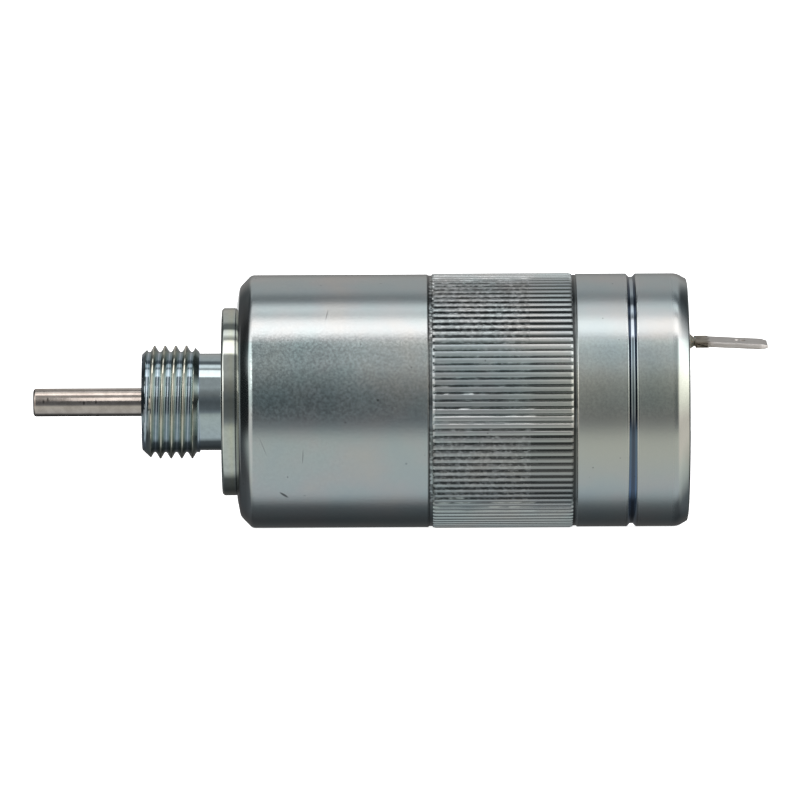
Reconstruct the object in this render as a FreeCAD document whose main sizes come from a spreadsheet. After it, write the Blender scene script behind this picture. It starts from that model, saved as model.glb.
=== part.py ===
"""Tubular fuel-stop solenoid with a spring-extended push pin, in millimetres.

The axis of the solenoid lies along X. The origin is on that axis, in the front face of
the collar, which is the face that seats on the engine. The pin points to -X, the blade
terminal to +X, and +Z is up.
"""
import FreeCAD, Part
import math
import os

import Sketcher

Vector = FreeCAD.Vector

DRIVING_SIZES = {
    # Push pin, the rod that comes out of the nose
    "pin_size": 4.0,
    "pin_reach": 26.7,
    "pin_tip_chamfer": 0.3,
    "pin_head_overhang": 0.5,
    "pin_head_thickness": 0.8,
    "pin_running_clearance": 0.04,
    "stroke": 10.0,
    # Threaded nose with its neck, collar and spigot
    "thread_size": 16.0,
    "thread_pitch": 1.5,
    "nose_length": 11.3,
    "nose_lead_length": 1.85,
    "nose_lead_depth": 1.05,
    "thread_runout": 0.9,
    "neck_depth": 1.15,
    "neck_length": 3.15,
    "collar_size": 26.5,
    "collar_thickness": 2.1,
    "collar_chamfer": 0.4,
    "spigot_size": 18.0,
    "spigot_tail": 1.0,
    "chamber_clearance": 0.3,
    "chamber_inset": 1.0,
    # Guide bush, wiper seal and backing washer inside the nose
    "bush_wall": 1.5,
    "bush_setback": 0.4,
    "seal_width": 2.5,
    "seal_thickness": 1.6,
    "seal_lip_width": 0.5,
    "seal_lip_root": 1.1,
    "seal_clearance": 0.06,
    "seal_recess": 0.3,
    "seal_washer_thickness": 0.4,
    "seal_washer_clearance": 0.2,
    # Case: drawn steel cup with a knurled grip
    "case_size": 35.75,
    "case_wall": 2.5,
    "case_length": 63.6,
    "front_wall": 3.0,
    "front_crown": 0.45,
    "front_crown_width": 2.4,
    "front_chamfer_length": 1.65,
    "front_chamfer_depth": 1.675,
    "knurl_inset": 16.3,
    "knurl_length": 19.8,
    "knurl_proud": 0.1,
    "knurl_depth": 0.4,
    "knurl_count": 108,
    "knurl_bevel": 0.4,
    "knurl_cutter_margin": 0.2,
    "relief_length": 0.6,
    "relief_depth": 0.15,
    "roll_groove_inset": 8.04,
    "roll_groove_width": 1.27,
    "roll_groove_floor": 0.45,
    "roll_groove_depth": 0.45,
    "roll_ridge_width": 1.6,
    "roll_ridge_floor": 0.5,
    "roll_ridge_height": 0.35,
    "rear_taper_length": 1.4,
    "rear_taper_depth": 0.76,
    "rear_edge": 0.15,
    "lip_thickness": 1.1,
    "lip_overhang": 1.175,
    # Nose fastening
    "o_ring_section": 1.2,
    "o_ring_squeeze_gap": 0.06,
    "o_ring_groove_width": 1.5,
    "lock_ring_width": 3.2,
    "lock_ring_thickness": 2.0,
    "lock_ring_chamfer": 0.4,
    # Stop washer, disc spring and front pole plate
    "stop_washer_clip_gap": 0.8,
    "stop_washer_thickness": 1.0,
    "disc_spring_rim_gap": 1.175,
    "disc_spring_hole_gap": 0.4,
    "disc_spring_thickness": 0.6,
    "disc_spring_height": 1.5,
    "pole_plate_thickness": 4.0,
    "plate_clearance": 0.075,
    # Guide tube, bobbin and coil
    "armature_running_clearance": 0.1,
    "guide_tube_wall": 0.5,
    "guide_tube_end_gap": 0.5,
    "bobbin_clearance": 0.1,
    "bobbin_hub_wall": 1.1,
    "bobbin_flange_gap": 0.475,
    "bobbin_flange_thickness": 1.2,
    "winding_inset": 0.7,
    "wrap_thickness": 0.3,
    # Armature and its clip
    "armature_size": 14.0,
    "armature_length": 26.0,
    "armature_nose_length": 4.0,
    "armature_nose_wall": 1.2,
    "armature_chamfer": 0.5,
    "armature_bore_clearance": 0.03,
    "armature_spring_pocket": 10.0,
    "clip_width": 1.5,
    "clip_seat_depth": 0.4,
    "clip_thickness": 0.6,
    "clip_opening": 2.6,
    # Rear pole with its flange
    "pole_plug_clearance": 0.05,
    "pole_rim": 0.5,
    "pole_mouth_step": 0.2,
    "pole_floor_clearance": 0.1,
    "shim_thickness": 0.3,
    "shim_hole_clearance": 0.1,
    "pole_spring_pocket": 8.0,
    "pole_flange_thickness": 6.0,
    "pole_groove_clearance": 0.15,
    # Return spring
    "spring_head_clearance": 0.2,
    "spring_pocket_clearance": 0.2,
    "spring_wire": 0.8,
    "spring_turns": 10.25,
    # Leads from the coil
    "lead_wire": 0.6,
    "lead_inset": 2.0,
    "lead_sleeve_size": 1.8,
    "lead_sleeve_bore": 0.8,
    "lead_hole_size": 2.0,
    "lead_bend": 0.9,
    "lead_overlap": 0.46,
    "ground_lead_depth": 2.0,
    # Rear insulator, cover and sealing resin
    "insulator_thickness": 0.5,
    "cover_cavity_clearance": 0.2,
    "cover_rim": 1.7,
    "cover_thickness": 2.0,
    "resin_thickness": 0.7,
    "meniscus_height": 1.6,
    "meniscus_middle": 0.75,
    "meniscus_base_rise": 5.6,
    "meniscus_middle_rise": 3.1,
    "meniscus_top_rise": 1.7,
    "meniscus_side": 0.9,
    # Blade terminal, a 6.3 mm by 0.8 mm tab, and its rivet
    "tab_width": 6.3,
    "tab_thickness": 0.8,
    "tab_reach": 8.15,
    "tab_inset": 6.04,
    "tab_turn": 8.0,
    "tab_droop": 0.42,
    "tab_corner": 1.1,
    "tab_tip_bevel": 0.7,
    "tab_tip_step": 0.18,
    "tab_hole": 1.7,
    "tab_hole_inset": 4.0,
    "shank_width": 7.8,
    "shank_stand_out": 3.2,
    "shank_slot_clearance": 0.1,
    "foot_margin": 2.1,
    "rivet_inset": 3.9,
    "rivet_size": 1.8,
    "rivet_head_size": 3.2,
    "rivet_head_thickness": 0.5,
}

doc = FreeCAD.newDocument("fuel_stop_solenoid")
sheet = doc.addObject("Spreadsheet::Sheet", "Sizes")
subparts = []


class Size:
    """A size that is known both as a number and as the sheet expression that drives it."""

    def __init__(self, value, text):
        self.value = float(value)
        self.text = text

    def combined(self, other, sign, result):
        return Size(result, "({} {} {})".format(self.text, sign, as_size(other).text))

    def __add__(self, other):
        return self.combined(other, "+", self.value + as_size(other).value)

    def __sub__(self, other):
        return self.combined(other, "-", self.value - as_size(other).value)

    def __mul__(self, other):
        return self.combined(other, "*", self.value * as_size(other).value)

    def __truediv__(self, other):
        return self.combined(other, "/", self.value / as_size(other).value)

    def __neg__(self):
        return Size(-self.value, "(0 - {})".format(self.text))


def as_size(number):
    """Wrap a plain number, such as the 0 of the axis, so that it can join an expression."""
    return number if isinstance(number, Size) else Size(number, repr(float(number)))


def size(name):
    """The driving size of that name in the sheet."""
    return Size(DRIVING_SIZES[name], "Sizes." + name)


def fill_sheet():
    """Write each driving size into a cell with its name beside it and as its alias."""
    for row, (name, value) in enumerate(DRIVING_SIZES.items(), start=1):
        sheet.set("A{}".format(row), name)
        sheet.set("B{}".format(row), str(value))
        sheet.setAlias("B{}".format(row), name)
    doc.recompute()


def new_body(name):
    """An empty body for one sub-part, listed for the export."""
    body = doc.addObject("PartDesign::Body", name)
    body.Label = name
    subparts.append(body)
    return body


def origin_feature(body, role):
    """The body's own origin plane or axis of that role."""
    return next(item for item in body.Origin.OriginFeatures if item.Role == role)


def new_sketch(body, name, plane):
    """A sketch on one of the body's own origin planes."""
    sketch = body.newObject("Sketcher::SketchObject", name)
    sketch.AttachmentSupport = (origin_feature(body, plane), [""])
    sketch.MapMode = "FlatFace"
    return sketch


def place_sketch(sketch, across=0.0, up=0.0, out=0.0, turn=None):
    """Move a sketch within its plane, out along the plane's normal, and turn it."""
    for axis, distance in (("x", across), ("y", up), ("z", out)):
        sketch.setExpression("AttachmentOffset.Base." + axis, as_size(distance).text)
    if turn is not None:
        sketch.setExpression("AttachmentOffset.Rotation.Angle", turn.text)


def add_outline(sketch, points):
    """Close a loop of straight lines through the points, each tied to the sketch's origin."""
    first = len(sketch.Geometry)
    points = [(as_size(across), as_size(up)) for across, up in points]
    following = points[1:] + points[:1]
    for start, end in zip(points, following):
        line = Part.LineSegment(Vector(start[0].value, start[1].value, 0),
                                Vector(end[0].value, end[1].value, 0))
        sketch.addGeometry(line)
    for index in range(len(points)):
        after = first + (index + 1) % len(points)
        sketch.addConstraint(Sketcher.Constraint("Coincident", first + index, 2, after, 1))
    for index, point in enumerate(points):
        for kind, distance in zip(("DistanceX", "DistanceY"), point):
            rule = Sketcher.Constraint(kind, -1, 1, first + index, 1, distance.value)
            number = sketch.addConstraint(rule)
            sketch.setExpression("Constraints[{}]".format(number), distance.text)


def add_circle(sketch, across, up, diameter):
    """A circle of that diameter, its centre tied to the sketch's origin."""
    across, up, diameter = as_size(across), as_size(up), as_size(diameter)
    circle = Part.Circle(Vector(across.value, up.value, 0), Vector(0, 0, 1), diameter.value / 2)
    geometry = sketch.addGeometry(circle)
    for kind, distance in (("DistanceX", across), ("DistanceY", up)):
        number = sketch.addConstraint(Sketcher.Constraint(kind, -1, 1, geometry, 3, distance.value))
        sketch.setExpression("Constraints[{}]".format(number), distance.text)
    number = sketch.addConstraint(Sketcher.Constraint("Diameter", geometry, diameter.value))
    sketch.setExpression("Constraints[{}]".format(number), diameter.text)


def box_outline(half_width, half_height):
    """The four corners of a rectangle about the sketch's origin."""
    return [(-half_width, -half_height), (half_width, -half_height),
            (half_width, half_height), (-half_width, half_height)]


def turned(name, outline):
    """A sub-part turned about X from an outline of (place along X, radius) points."""
    body = new_body(name)
    sketch = new_sketch(body, name + "_outline", "XZ_Plane")
    add_outline(sketch, outline)
    turn = body.newObject("PartDesign::Revolution", name + "_turning")
    turn.Profile = sketch
    turn.ReferenceAxis = (sketch, ["H_Axis"])
    turn.Angle = 360
    return body


def ring(name, front, rear, bore_radius, outer_radius):
    """A plain ring between two places along X."""
    return turned(name, [(front, bore_radius), (rear, bore_radius),
                         (rear, outer_radius), (front, outer_radius)])


def pocket(body, name, sketch, length):
    """Cut the sketch's outline from its plane towards +X, or +Z for a flat plane."""
    cut = body.newObject("PartDesign::Pocket", name)
    cut.Profile = sketch
    cut.Reversed = True
    cut.setExpression("Length", as_size(length).text)
    return cut


def drill(body, name, up, diameter, front, depth):
    """A round hole parallel to X at a height above the axis."""
    sketch = new_sketch(body, name + "_circle", "YZ_Plane")
    place_sketch(sketch, out=front)
    add_circle(sketch, 0, up, diameter)
    return pocket(body, name, sketch, depth)


# Radii that several sub-parts share
pin_radius = size("pin_size") / 2
pin_head_radius = pin_radius + size("pin_head_overhang")
thread_radius = size("thread_size") / 2
collar_radius = size("collar_size") / 2
bush_radius = pin_radius + size("bush_wall")
seal_radius = pin_radius + size("seal_width")
clip_radius = pin_radius + size("clip_width")
spring_radius = pin_head_radius + size("spring_head_clearance") + size("spring_wire")
spring_pocket_radius = spring_radius + size("spring_pocket_clearance")
armature_radius = size("armature_size") / 2
armature_nose_radius = spring_pocket_radius + size("armature_nose_wall")
chamber_radius = armature_radius + size("chamber_clearance")
spigot_radius = size("spigot_size") / 2
tube_bore = armature_radius + size("armature_running_clearance")
tube_radius = tube_bore + size("guide_tube_wall")
hub_bore = tube_radius + size("bobbin_clearance")
hub_radius = hub_bore + size("bobbin_hub_wall")
case_radius = size("case_size") / 2
case_bore = case_radius - size("case_wall")
lip_radius = case_bore - size("lip_overhang")
plate_radius = case_bore - size("plate_clearance")
flange_radius = case_bore - size("bobbin_flange_gap")
winding_radius = flange_radius - size("winding_inset")
lead_height = winding_radius - size("lead_inset")
tab_height = lip_radius - size("tab_inset")

# Places along X, counted from the seat face to the rear and then back from the case's rear
nose_front = -size("nose_length")
seal_front = nose_front + size("seal_recess")
seal_rear = seal_front + size("seal_thickness")
seal_seat = seal_rear + size("seal_washer_thickness")
collar_rear = size("collar_thickness")
chamber_floor = size("chamber_inset")
case_front = collar_rear
front_wall_rear = case_front + size("front_wall")
lock_ring_rear = front_wall_rear + size("lock_ring_thickness")
spigot_rear = lock_ring_rear + size("spigot_tail")
plate_front = lock_ring_rear + size("disc_spring_height")
bobbin_front = plate_front + size("pole_plate_thickness")
winding_front = bobbin_front + size("bobbin_flange_thickness")
armature_front = chamber_floor + size("stop_washer_thickness")
clip_front = armature_front - size("clip_thickness")
armature_rear = armature_front + size("armature_length")
armature_seat = armature_rear - size("armature_spring_pocket")
shim_front = armature_rear + size("stroke")
pole_floor = shim_front + size("shim_thickness")
pole_front = shim_front - size("armature_nose_length") + size("pole_rim")
pole_seat = pole_floor + size("pole_spring_pocket")
case_rear = case_front + size("case_length")
roll_groove = case_rear - size("roll_groove_inset")
cover_rear = case_rear - size("lip_thickness")
cover_front = cover_rear - size("cover_thickness")
foot_front = cover_front - size("tab_thickness")
insulator_rear = foot_front - size("lead_wire") - size("cover_cavity_clearance")
flange_rear = insulator_rear - size("insulator_thickness")
bobbin_rear = flange_rear - size("pole_flange_thickness")
winding_rear = bobbin_rear - size("bobbin_flange_thickness")
resin_rear = cover_rear + size("resin_thickness")
shoulder = case_rear + size("shank_stand_out")
tab_tip = shoulder + size("tab_reach")


def make_case():
    """Drawn steel cup: crowned front wall, knurled grip, roll groove and a rolled-in lip."""
    crest = case_radius + size("knurl_proud")
    relief = case_radius - size("relief_depth")
    knurl_end = case_rear - size("knurl_inset")
    knurl_start = knurl_end - size("knurl_length")
    groove_half = size("roll_groove_width") / 2
    floor_half = size("roll_groove_floor") / 2
    groove_radius = case_radius - size("roll_groove_depth")
    ridge_half = size("roll_ridge_width") / 2
    ridge_top_half = size("roll_ridge_floor") / 2
    ridge_radius = case_bore - size("roll_ridge_height")
    o_ring_rear = case_front + size("o_ring_section")
    o_ring_radius = spigot_radius + size("o_ring_groove_width")
    crown_rear = case_front + size("front_crown")
    crown_radius = case_radius - size("front_chamfer_depth")
    taper_rear = case_rear - size("rear_edge")
    taper_radius = case_radius - size("rear_taper_depth")
    body = turned("case", [
        (o_ring_rear, spigot_radius),
        (o_ring_rear, o_ring_radius),
        (case_front, o_ring_radius),
        (case_front, crown_radius - size("front_crown_width")),
        (crown_rear, crown_radius),
        (crown_rear + size("front_chamfer_length"), case_radius),
        (knurl_start - size("relief_length"), case_radius),
        (knurl_start - size("relief_length") + size("relief_depth"), relief),
        (knurl_start, relief),
        (knurl_start + size("knurl_bevel"), crest),
        (knurl_end - size("knurl_bevel"), crest),
        (knurl_end, relief),
        (knurl_end + size("relief_length") - size("relief_depth"), relief),
        (knurl_end + size("relief_length"), case_radius),
        (roll_groove - groove_half, case_radius),
        (roll_groove - floor_half, groove_radius),
        (roll_groove + floor_half, groove_radius),
        (roll_groove + groove_half, case_radius),
        (taper_rear - size("rear_taper_length"), case_radius),
        (taper_rear, taper_radius),
        (case_rear, taper_radius - size("rear_edge")),
        (case_rear, lip_radius),
        (cover_rear, lip_radius),
        (cover_rear, case_bore),
        (roll_groove + ridge_half, case_bore),
        (roll_groove + ridge_top_half, ridge_radius),
        (roll_groove - ridge_top_half, ridge_radius),
        (roll_groove - ridge_half, case_bore),
        (front_wall_rear, case_bore),
        (front_wall_rear, spigot_radius),
    ])
    # One V of the straight knurl has square flanks, so it is as wide at each side as it is deep
    sketch = new_sketch(body, "knurl_vee", "YZ_Plane")
    place_sketch(sketch, out=knurl_start)
    root = crest - size("knurl_depth")
    reach = size("knurl_depth") + size("knurl_cutter_margin")
    add_outline(sketch, [(0, root), (reach, root + reach), (-reach, root + reach)])
    doc.recompute()
    groove = pocket(body, "knurl_groove", sketch, size("knurl_length"))
    doc.recompute()
    pattern = body.newObject("PartDesign::PolarPattern", "knurl")
    pattern.Originals = [groove]
    pattern.Axis = (origin_feature(body, "X_Axis"), [""])
    pattern.Angle = 360
    pattern.setExpression("Occurrences", "Sizes.knurl_count")
    body.Tip = pattern


def make_threaded_nose():
    """Turned steel nose: M16 x 1.5 thread, neck, collar, and a spigot through the case wall."""
    neck_radius = thread_radius - size("neck_depth")
    neck_front = -size("neck_length")
    chamfer = size("collar_chamfer")
    body = turned("threaded_nose", [
        (nose_front, seal_radius),
        (nose_front, thread_radius - size("nose_lead_depth")),
        (nose_front + size("nose_lead_length"), thread_radius),
        (neck_front - size("thread_runout"), thread_radius),
        (neck_front, thread_radius - size("thread_runout")),
        (neck_front, neck_radius),
        (0, neck_radius),
        (0, collar_radius - chamfer),
        (chamfer, collar_radius),
        (collar_rear, collar_radius),
        (collar_rear, spigot_radius),
        (spigot_rear, spigot_radius),
        (spigot_rear, chamber_radius),
        (chamber_floor, chamber_radius),
        (chamber_floor, bush_radius),
        (seal_seat, bush_radius),
        (seal_seat, seal_radius),
    ])
    # The cutter is a 60 degree vee whose root flat is an eighth of the pitch. It starts a
    # pitch before the nose and runs out in the open neck.
    pitch = size("thread_pitch")
    root_half = pitch / 16
    depth = pitch * 0.6134
    rise = depth + pitch * 0.12
    reach = root_half + rise * math.tan(math.radians(30))
    start = nose_front - pitch
    root = thread_radius - depth
    sketch = new_sketch(body, "thread_vee", "XZ_Plane")
    add_outline(sketch, [(start - root_half, root), (start + root_half, root),
                         (start + reach, root + rise), (start - reach, root + rise)])
    doc.recompute()
    helix = body.newObject("PartDesign::SubtractiveHelix", "thread")
    helix.Profile = sketch
    helix.ReferenceAxis = (sketch, ["H_Axis"])
    helix.Mode = "pitch-height-angle"
    helix.setExpression("Pitch", pitch.text)
    run = size("nose_length") - size("neck_length") + pitch * 1.6
    helix.setExpression("Height", run.text)


def make_nose_fittings():
    """Bush, seal and backing washer in the nose, and what holds the nose in the case."""
    bush_rear = chamber_floor - size("bush_setback")
    bush_bore = pin_radius + size("pin_running_clearance")
    ring("guide_bush", seal_seat, bush_rear, bush_bore, bush_radius)

    seal_bore = pin_radius + size("seal_clearance")
    lip_root = pin_radius + size("seal_lip_root")
    lip_front = seal_front + size("seal_lip_width")
    turned("rod_seal", [
        (lip_front, seal_bore),
        (lip_front + size("seal_lip_width"), seal_bore),
        (seal_rear, lip_root),
        (seal_rear, seal_radius),
        (seal_front, seal_radius),
        (seal_front, lip_root),
    ])
    washer_bore = pin_radius + size("seal_washer_clearance")
    ring("seal_washer", seal_rear, seal_seat, washer_bore, seal_radius)

    o_ring_radius = size("o_ring_section") / 2 - size("o_ring_squeeze_gap")
    centre_radius = spigot_radius + size("o_ring_groove_width") / 2
    o_ring = doc.addObject("Part::Torus", "nose_o_ring")
    o_ring.setExpression("Radius1", centre_radius.text)
    o_ring.setExpression("Radius2", o_ring_radius.text)
    o_ring.Placement = FreeCAD.Placement(Vector(0, 0, 0), FreeCAD.Rotation(Vector(0, 1, 0), 90))
    o_ring.setExpression("Placement.Base.x", (case_front + size("o_ring_section") / 2).text)
    subparts.append(o_ring)

    chamfer = size("lock_ring_chamfer")
    lock_radius = spigot_radius + size("lock_ring_width")
    turned("nose_lock_ring", [
        (front_wall_rear, spigot_radius),
        (lock_ring_rear, spigot_radius),
        (lock_ring_rear, lock_radius - chamfer),
        (lock_ring_rear - chamfer, lock_radius),
        (front_wall_rear, lock_radius),
    ])


def make_front_stack():
    """Stop washer under the armature, the disc spring and the front pole plate."""
    washer_hole = clip_radius + size("stop_washer_clip_gap")
    ring("stop_washer", chamber_floor, armature_front, washer_hole, armature_radius)
    thickness = size("disc_spring_thickness")
    inner_radius = spigot_radius + size("disc_spring_hole_gap")
    outer_radius = case_bore - size("disc_spring_rim_gap")
    turned("disc_spring", [
        (lock_ring_rear, inner_radius),
        (lock_ring_rear + thickness, inner_radius),
        (plate_front, outer_radius),
        (plate_front - thickness, outer_radius),
    ])
    ring("front_pole_plate", plate_front, bobbin_front, tube_radius, plate_radius)


def make_coil():
    """Guide tube, bobbin with holes for the leads, winding and its wrap."""
    tube_rear = bobbin_rear - size("guide_tube_end_gap")
    ring("guide_tube", plate_front, tube_rear, tube_bore, tube_radius)
    body = turned("bobbin", [
        (bobbin_front, hub_bore),
        (bobbin_rear, hub_bore),
        (bobbin_rear, flange_radius),
        (winding_rear, flange_radius),
        (winding_rear, hub_radius),
        (winding_front, hub_radius),
        (winding_front, flange_radius),
        (bobbin_front, flange_radius),
    ])
    flange = size("bobbin_flange_thickness")
    drill(body, "live_lead_hole", lead_height, size("lead_hole_size"), winding_rear, flange)
    drill(body, "ground_lead_hole", -lead_height, size("lead_hole_size"), winding_rear, flange)
    ring("coil_winding", winding_front, winding_rear, hub_radius, winding_radius)
    ring("coil_wrap", winding_front, winding_rear, winding_radius,
         winding_radius + size("wrap_thickness"))


def make_armature():
    """Steel plunger with a conical rear end, bored for the pin and for the spring."""
    chamfer = size("armature_chamfer")
    bore = pin_radius + size("armature_bore_clearance")
    turned("armature", [
        (armature_front, bore),
        (armature_seat, bore),
        (armature_seat, spring_pocket_radius),
        (armature_rear, spring_pocket_radius),
        (armature_rear, armature_nose_radius),
        (armature_rear - size("armature_nose_length"), armature_radius),
        (armature_front + chamfer, armature_radius),
        (armature_front, armature_radius - chamfer),
    ])


def make_push_pin():
    """Ground steel pin, headed inside the armature and grooved for the clip in front of it."""
    chamfer = size("pin_tip_chamfer")
    pin_front = -size("pin_reach")
    clip_seat = pin_radius - size("clip_seat_depth")
    head_rear = armature_seat + size("pin_head_thickness")
    turned("push_pin", [
        (pin_front, 0),
        (pin_front, pin_radius - chamfer),
        (pin_front + chamfer, pin_radius),
        (clip_front, pin_radius),
        (clip_front, clip_seat),
        (armature_front, clip_seat),
        (armature_front, pin_radius),
        (armature_seat, pin_radius),
        (armature_seat, pin_head_radius),
        (head_rear, pin_head_radius),
        (head_rear, 0),
    ])


def make_pin_clip():
    """Open spring clip snapped into the pin's groove, against the armature's front face."""
    body = ring("pin_clip", clip_front, armature_front,
                pin_radius - size("clip_seat_depth"), clip_radius)
    sketch = new_sketch(body, "clip_gap", "YZ_Plane")
    place_sketch(sketch, out=clip_front)
    half_gap = size("clip_opening") / 2
    edge = clip_radius * 2
    add_outline(sketch, [(-half_gap, -edge), (half_gap, -edge), (half_gap, 0), (-half_gap, 0)])
    pocket(body, "clip_gap_cut", sketch, size("clip_thickness"))


def make_return_spring():
    """Compression spring between the armature's pocket and the rear pole's pocket."""
    body = new_body("return_spring")
    wire = size("spring_wire")
    sketch = new_sketch(body, "spring_wire_section", "XZ_Plane")
    add_circle(sketch, armature_seat + wire / 2, spring_radius - wire / 2, wire)
    doc.recompute()
    height = pole_seat - armature_seat - wire
    helix = body.newObject("PartDesign::AdditiveHelix", "spring_coil")
    helix.Profile = sketch
    helix.ReferenceAxis = (sketch, ["H_Axis"])
    helix.Mode = "height-turns-angle"
    helix.setExpression("Height", height.text)
    helix.setExpression("Turns", "Sizes.spring_turns")


def make_rear_pole():
    """Steel pole plug with its conical mouth, and the flange that closes the case."""
    plug_radius = tube_bore - size("pole_plug_clearance")
    floor_radius = armature_nose_radius + size("pole_floor_clearance")
    mouth_radius = armature_radius - size("pole_mouth_step")
    margin = size("pole_groove_clearance")
    groove_half = size("roll_ridge_width") / 2 + margin
    groove_floor_half = size("roll_ridge_floor") / 2 + margin
    groove_radius = plate_radius - size("roll_ridge_height") - margin
    body = turned("rear_pole", [
        (pole_seat, 0),
        (pole_seat, spring_pocket_radius),
        (pole_floor, spring_pocket_radius),
        (pole_floor, floor_radius),
        (pole_front, mouth_radius),
        (pole_front, plug_radius),
        (bobbin_rear, plug_radius),
        (bobbin_rear, plate_radius),
        (roll_groove - groove_half, plate_radius),
        (roll_groove - groove_floor_half, groove_radius),
        (roll_groove + groove_floor_half, groove_radius),
        (roll_groove + groove_half, plate_radius),
        (flange_rear, plate_radius),
        (flange_rear, 0),
    ])
    flange = size("pole_flange_thickness")
    drill(body, "live_passage", lead_height, size("lead_hole_size"), bobbin_rear, flange)
    drill(body, "ground_socket", -lead_height, size("lead_wire"), bobbin_rear,
          size("ground_lead_depth"))
    shim_hole = spring_pocket_radius + size("shim_hole_clearance")
    ring("residual_shim", shim_front, pole_floor, shim_hole, armature_nose_radius)


def make_leads():
    """Live lead to the terminal's foot in its sleeve, and the ground lead into the flange."""
    wire = size("lead_wire")
    bend = size("lead_bend")
    along = foot_front - wire / 2
    lead_end = tab_height - size("lead_overlap")
    body = new_body("live_lead")
    section = new_sketch(body, "live_lead_section", "YZ_Plane")
    place_sketch(section, out=winding_rear)
    add_circle(section, 0, lead_height, wire)
    path = new_sketch(body, "live_lead_route", "XZ_Plane")
    add_lead_route(path, winding_rear, along, lead_height, bend, lead_end)
    doc.recompute()
    pipe = body.newObject("PartDesign::AdditivePipe", "live_lead_pipe")
    pipe.Profile = section
    pipe.Spine = (path, ["Edge1", "Edge2", "Edge3"])

    sleeve = new_body("lead_sleeve")
    sketch = new_sketch(sleeve, "sleeve_section", "YZ_Plane")
    place_sketch(sketch, out=bobbin_rear)
    add_circle(sketch, 0, lead_height, size("lead_sleeve_size"))
    add_circle(sketch, 0, lead_height, size("lead_sleeve_bore"))
    tube = sleeve.newObject("PartDesign::Pad", "sleeve_tube")
    tube.Profile = sketch
    tube.setExpression("Length", (insulator_rear - bobbin_rear).text)

    ground = new_body("ground_lead")
    sketch = new_sketch(ground, "ground_section", "YZ_Plane")
    place_sketch(sketch, out=winding_rear)
    add_circle(sketch, 0, -lead_height, wire)
    rod = ground.newObject("PartDesign::Pad", "ground_wire")
    rod.Profile = sketch
    length = size("bobbin_flange_thickness") + size("ground_lead_depth")
    rod.setExpression("Length", length.text)


def add_lead_route(sketch, front, along, height, bend, lowest):
    """A run along X, a quarter arc and a run down towards the axis, tangent to each other."""
    start = Vector(front.value, height.value, 0)
    turn_in = Vector(along.value - bend.value, height.value, 0)
    centre = Vector(along.value - bend.value, height.value - bend.value, 0)
    turn_out = Vector(along.value, height.value - bend.value, 0)
    end = Vector(along.value, lowest.value, 0)
    circle = Part.Circle(centre, Vector(0, 0, 1), bend.value)
    sketch.addGeometry(Part.LineSegment(start, turn_in))
    sketch.addGeometry(Part.ArcOfCircle(circle, 0, math.pi / 2))
    sketch.addGeometry(Part.LineSegment(turn_out, end))
    for rule in (("Coincident", 0, 2, 1, 2), ("Coincident", 1, 1, 2, 1)):
        sketch.addConstraint(Sketcher.Constraint(*rule))
    radius = sketch.addConstraint(Sketcher.Constraint("Radius", 1, bend.value))
    sketch.setExpression("Constraints[{}]".format(radius), bend.text)
    ties = [(0, 1, front, height), (0, 2, along - bend, height), (2, 1, along, height - bend),
            (2, 2, along, lowest)]
    for line, end_number, across, up in ties:
        for kind, distance in (("DistanceX", across), ("DistanceY", up)):
            rule = Sketcher.Constraint(kind, -1, 1, line, end_number, distance.value)
            number = sketch.addConstraint(rule)
            sketch.setExpression("Constraints[{}]".format(number), distance.text)


def make_rear_closure():
    """Fibre insulator, moulded cover with its slot and rivet hole, and the poured resin."""
    insulator = ring("rear_insulator", flange_rear, insulator_rear, 0, plate_radius)
    drill(insulator, "insulator_lead_hole", lead_height, size("lead_hole_size"),
          flange_rear, size("insulator_thickness"))

    cavity = plate_radius - size("cover_rim")
    cover = turned("rear_cover", [
        (cover_front, 0),
        (cover_rear, 0),
        (cover_rear, plate_radius),
        (insulator_rear, plate_radius),
        (insulator_rear, cavity),
        (cover_front, cavity),
    ])
    slot_half_width = size("shank_width") / 2 + size("shank_slot_clearance")
    slot_half_height = size("tab_thickness") / 2 + size("shank_slot_clearance")
    cut_for_tab(cover, "cover_slot", cover_front, cover_rear, slot_half_width, slot_half_height)
    cut_for_rivet(cover, "cover_rivet_hole", size("rivet_size"), cover_front, size("cover_thickness"))

    resin = ring("sealing_resin", cover_rear, resin_rear, 0, lip_radius)
    side = size("meniscus_side")
    half_width = size("shank_width") / 2
    sections = [
        (resin_rear, half_width + side, size("meniscus_base_rise") / 2),
        (resin_rear + size("meniscus_middle"), half_width + side / 2, size("meniscus_middle_rise") / 2),
        (resin_rear + size("meniscus_height"), half_width + side / 4, size("meniscus_top_rise") / 2),
    ]
    sketches = []
    for number, (place, section_half_width, section_half_height) in enumerate(sections, start=1):
        sketch = new_sketch(resin, "meniscus_{}".format(number), "YZ_Plane")
        place_sketch(sketch, up=tab_height, out=place, turn=size("tab_turn"))
        add_outline(sketch, box_outline(section_half_width, section_half_height))
        sketches.append(sketch)
    doc.recompute()
    mound = resin.newObject("PartDesign::AdditiveLoft", "meniscus")
    mound.Profile = sketches[0]
    mound.Sections = sketches[1:]
    mound.Ruled = True
    doc.recompute()
    mound_rear = resin_rear + size("meniscus_height")
    cut_for_tab(resin, "resin_slot", cover_rear, mound_rear, half_width, size("tab_thickness") / 2)
    cut_for_rivet(resin, "resin_rivet_recess", size("rivet_head_size"), cover_rear,
                  size("rivet_head_thickness"))


def cut_for_tab(body, name, front, rear, half_width, half_height):
    """Cut the slot that the terminal's shank passes through, turned as the terminal is."""
    sketch = new_sketch(body, name + "_outline", "YZ_Plane")
    place_sketch(sketch, up=tab_height, out=front, turn=size("tab_turn"))
    add_outline(sketch, box_outline(half_width, half_height))
    pocket(body, name, sketch, rear - front)


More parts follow.
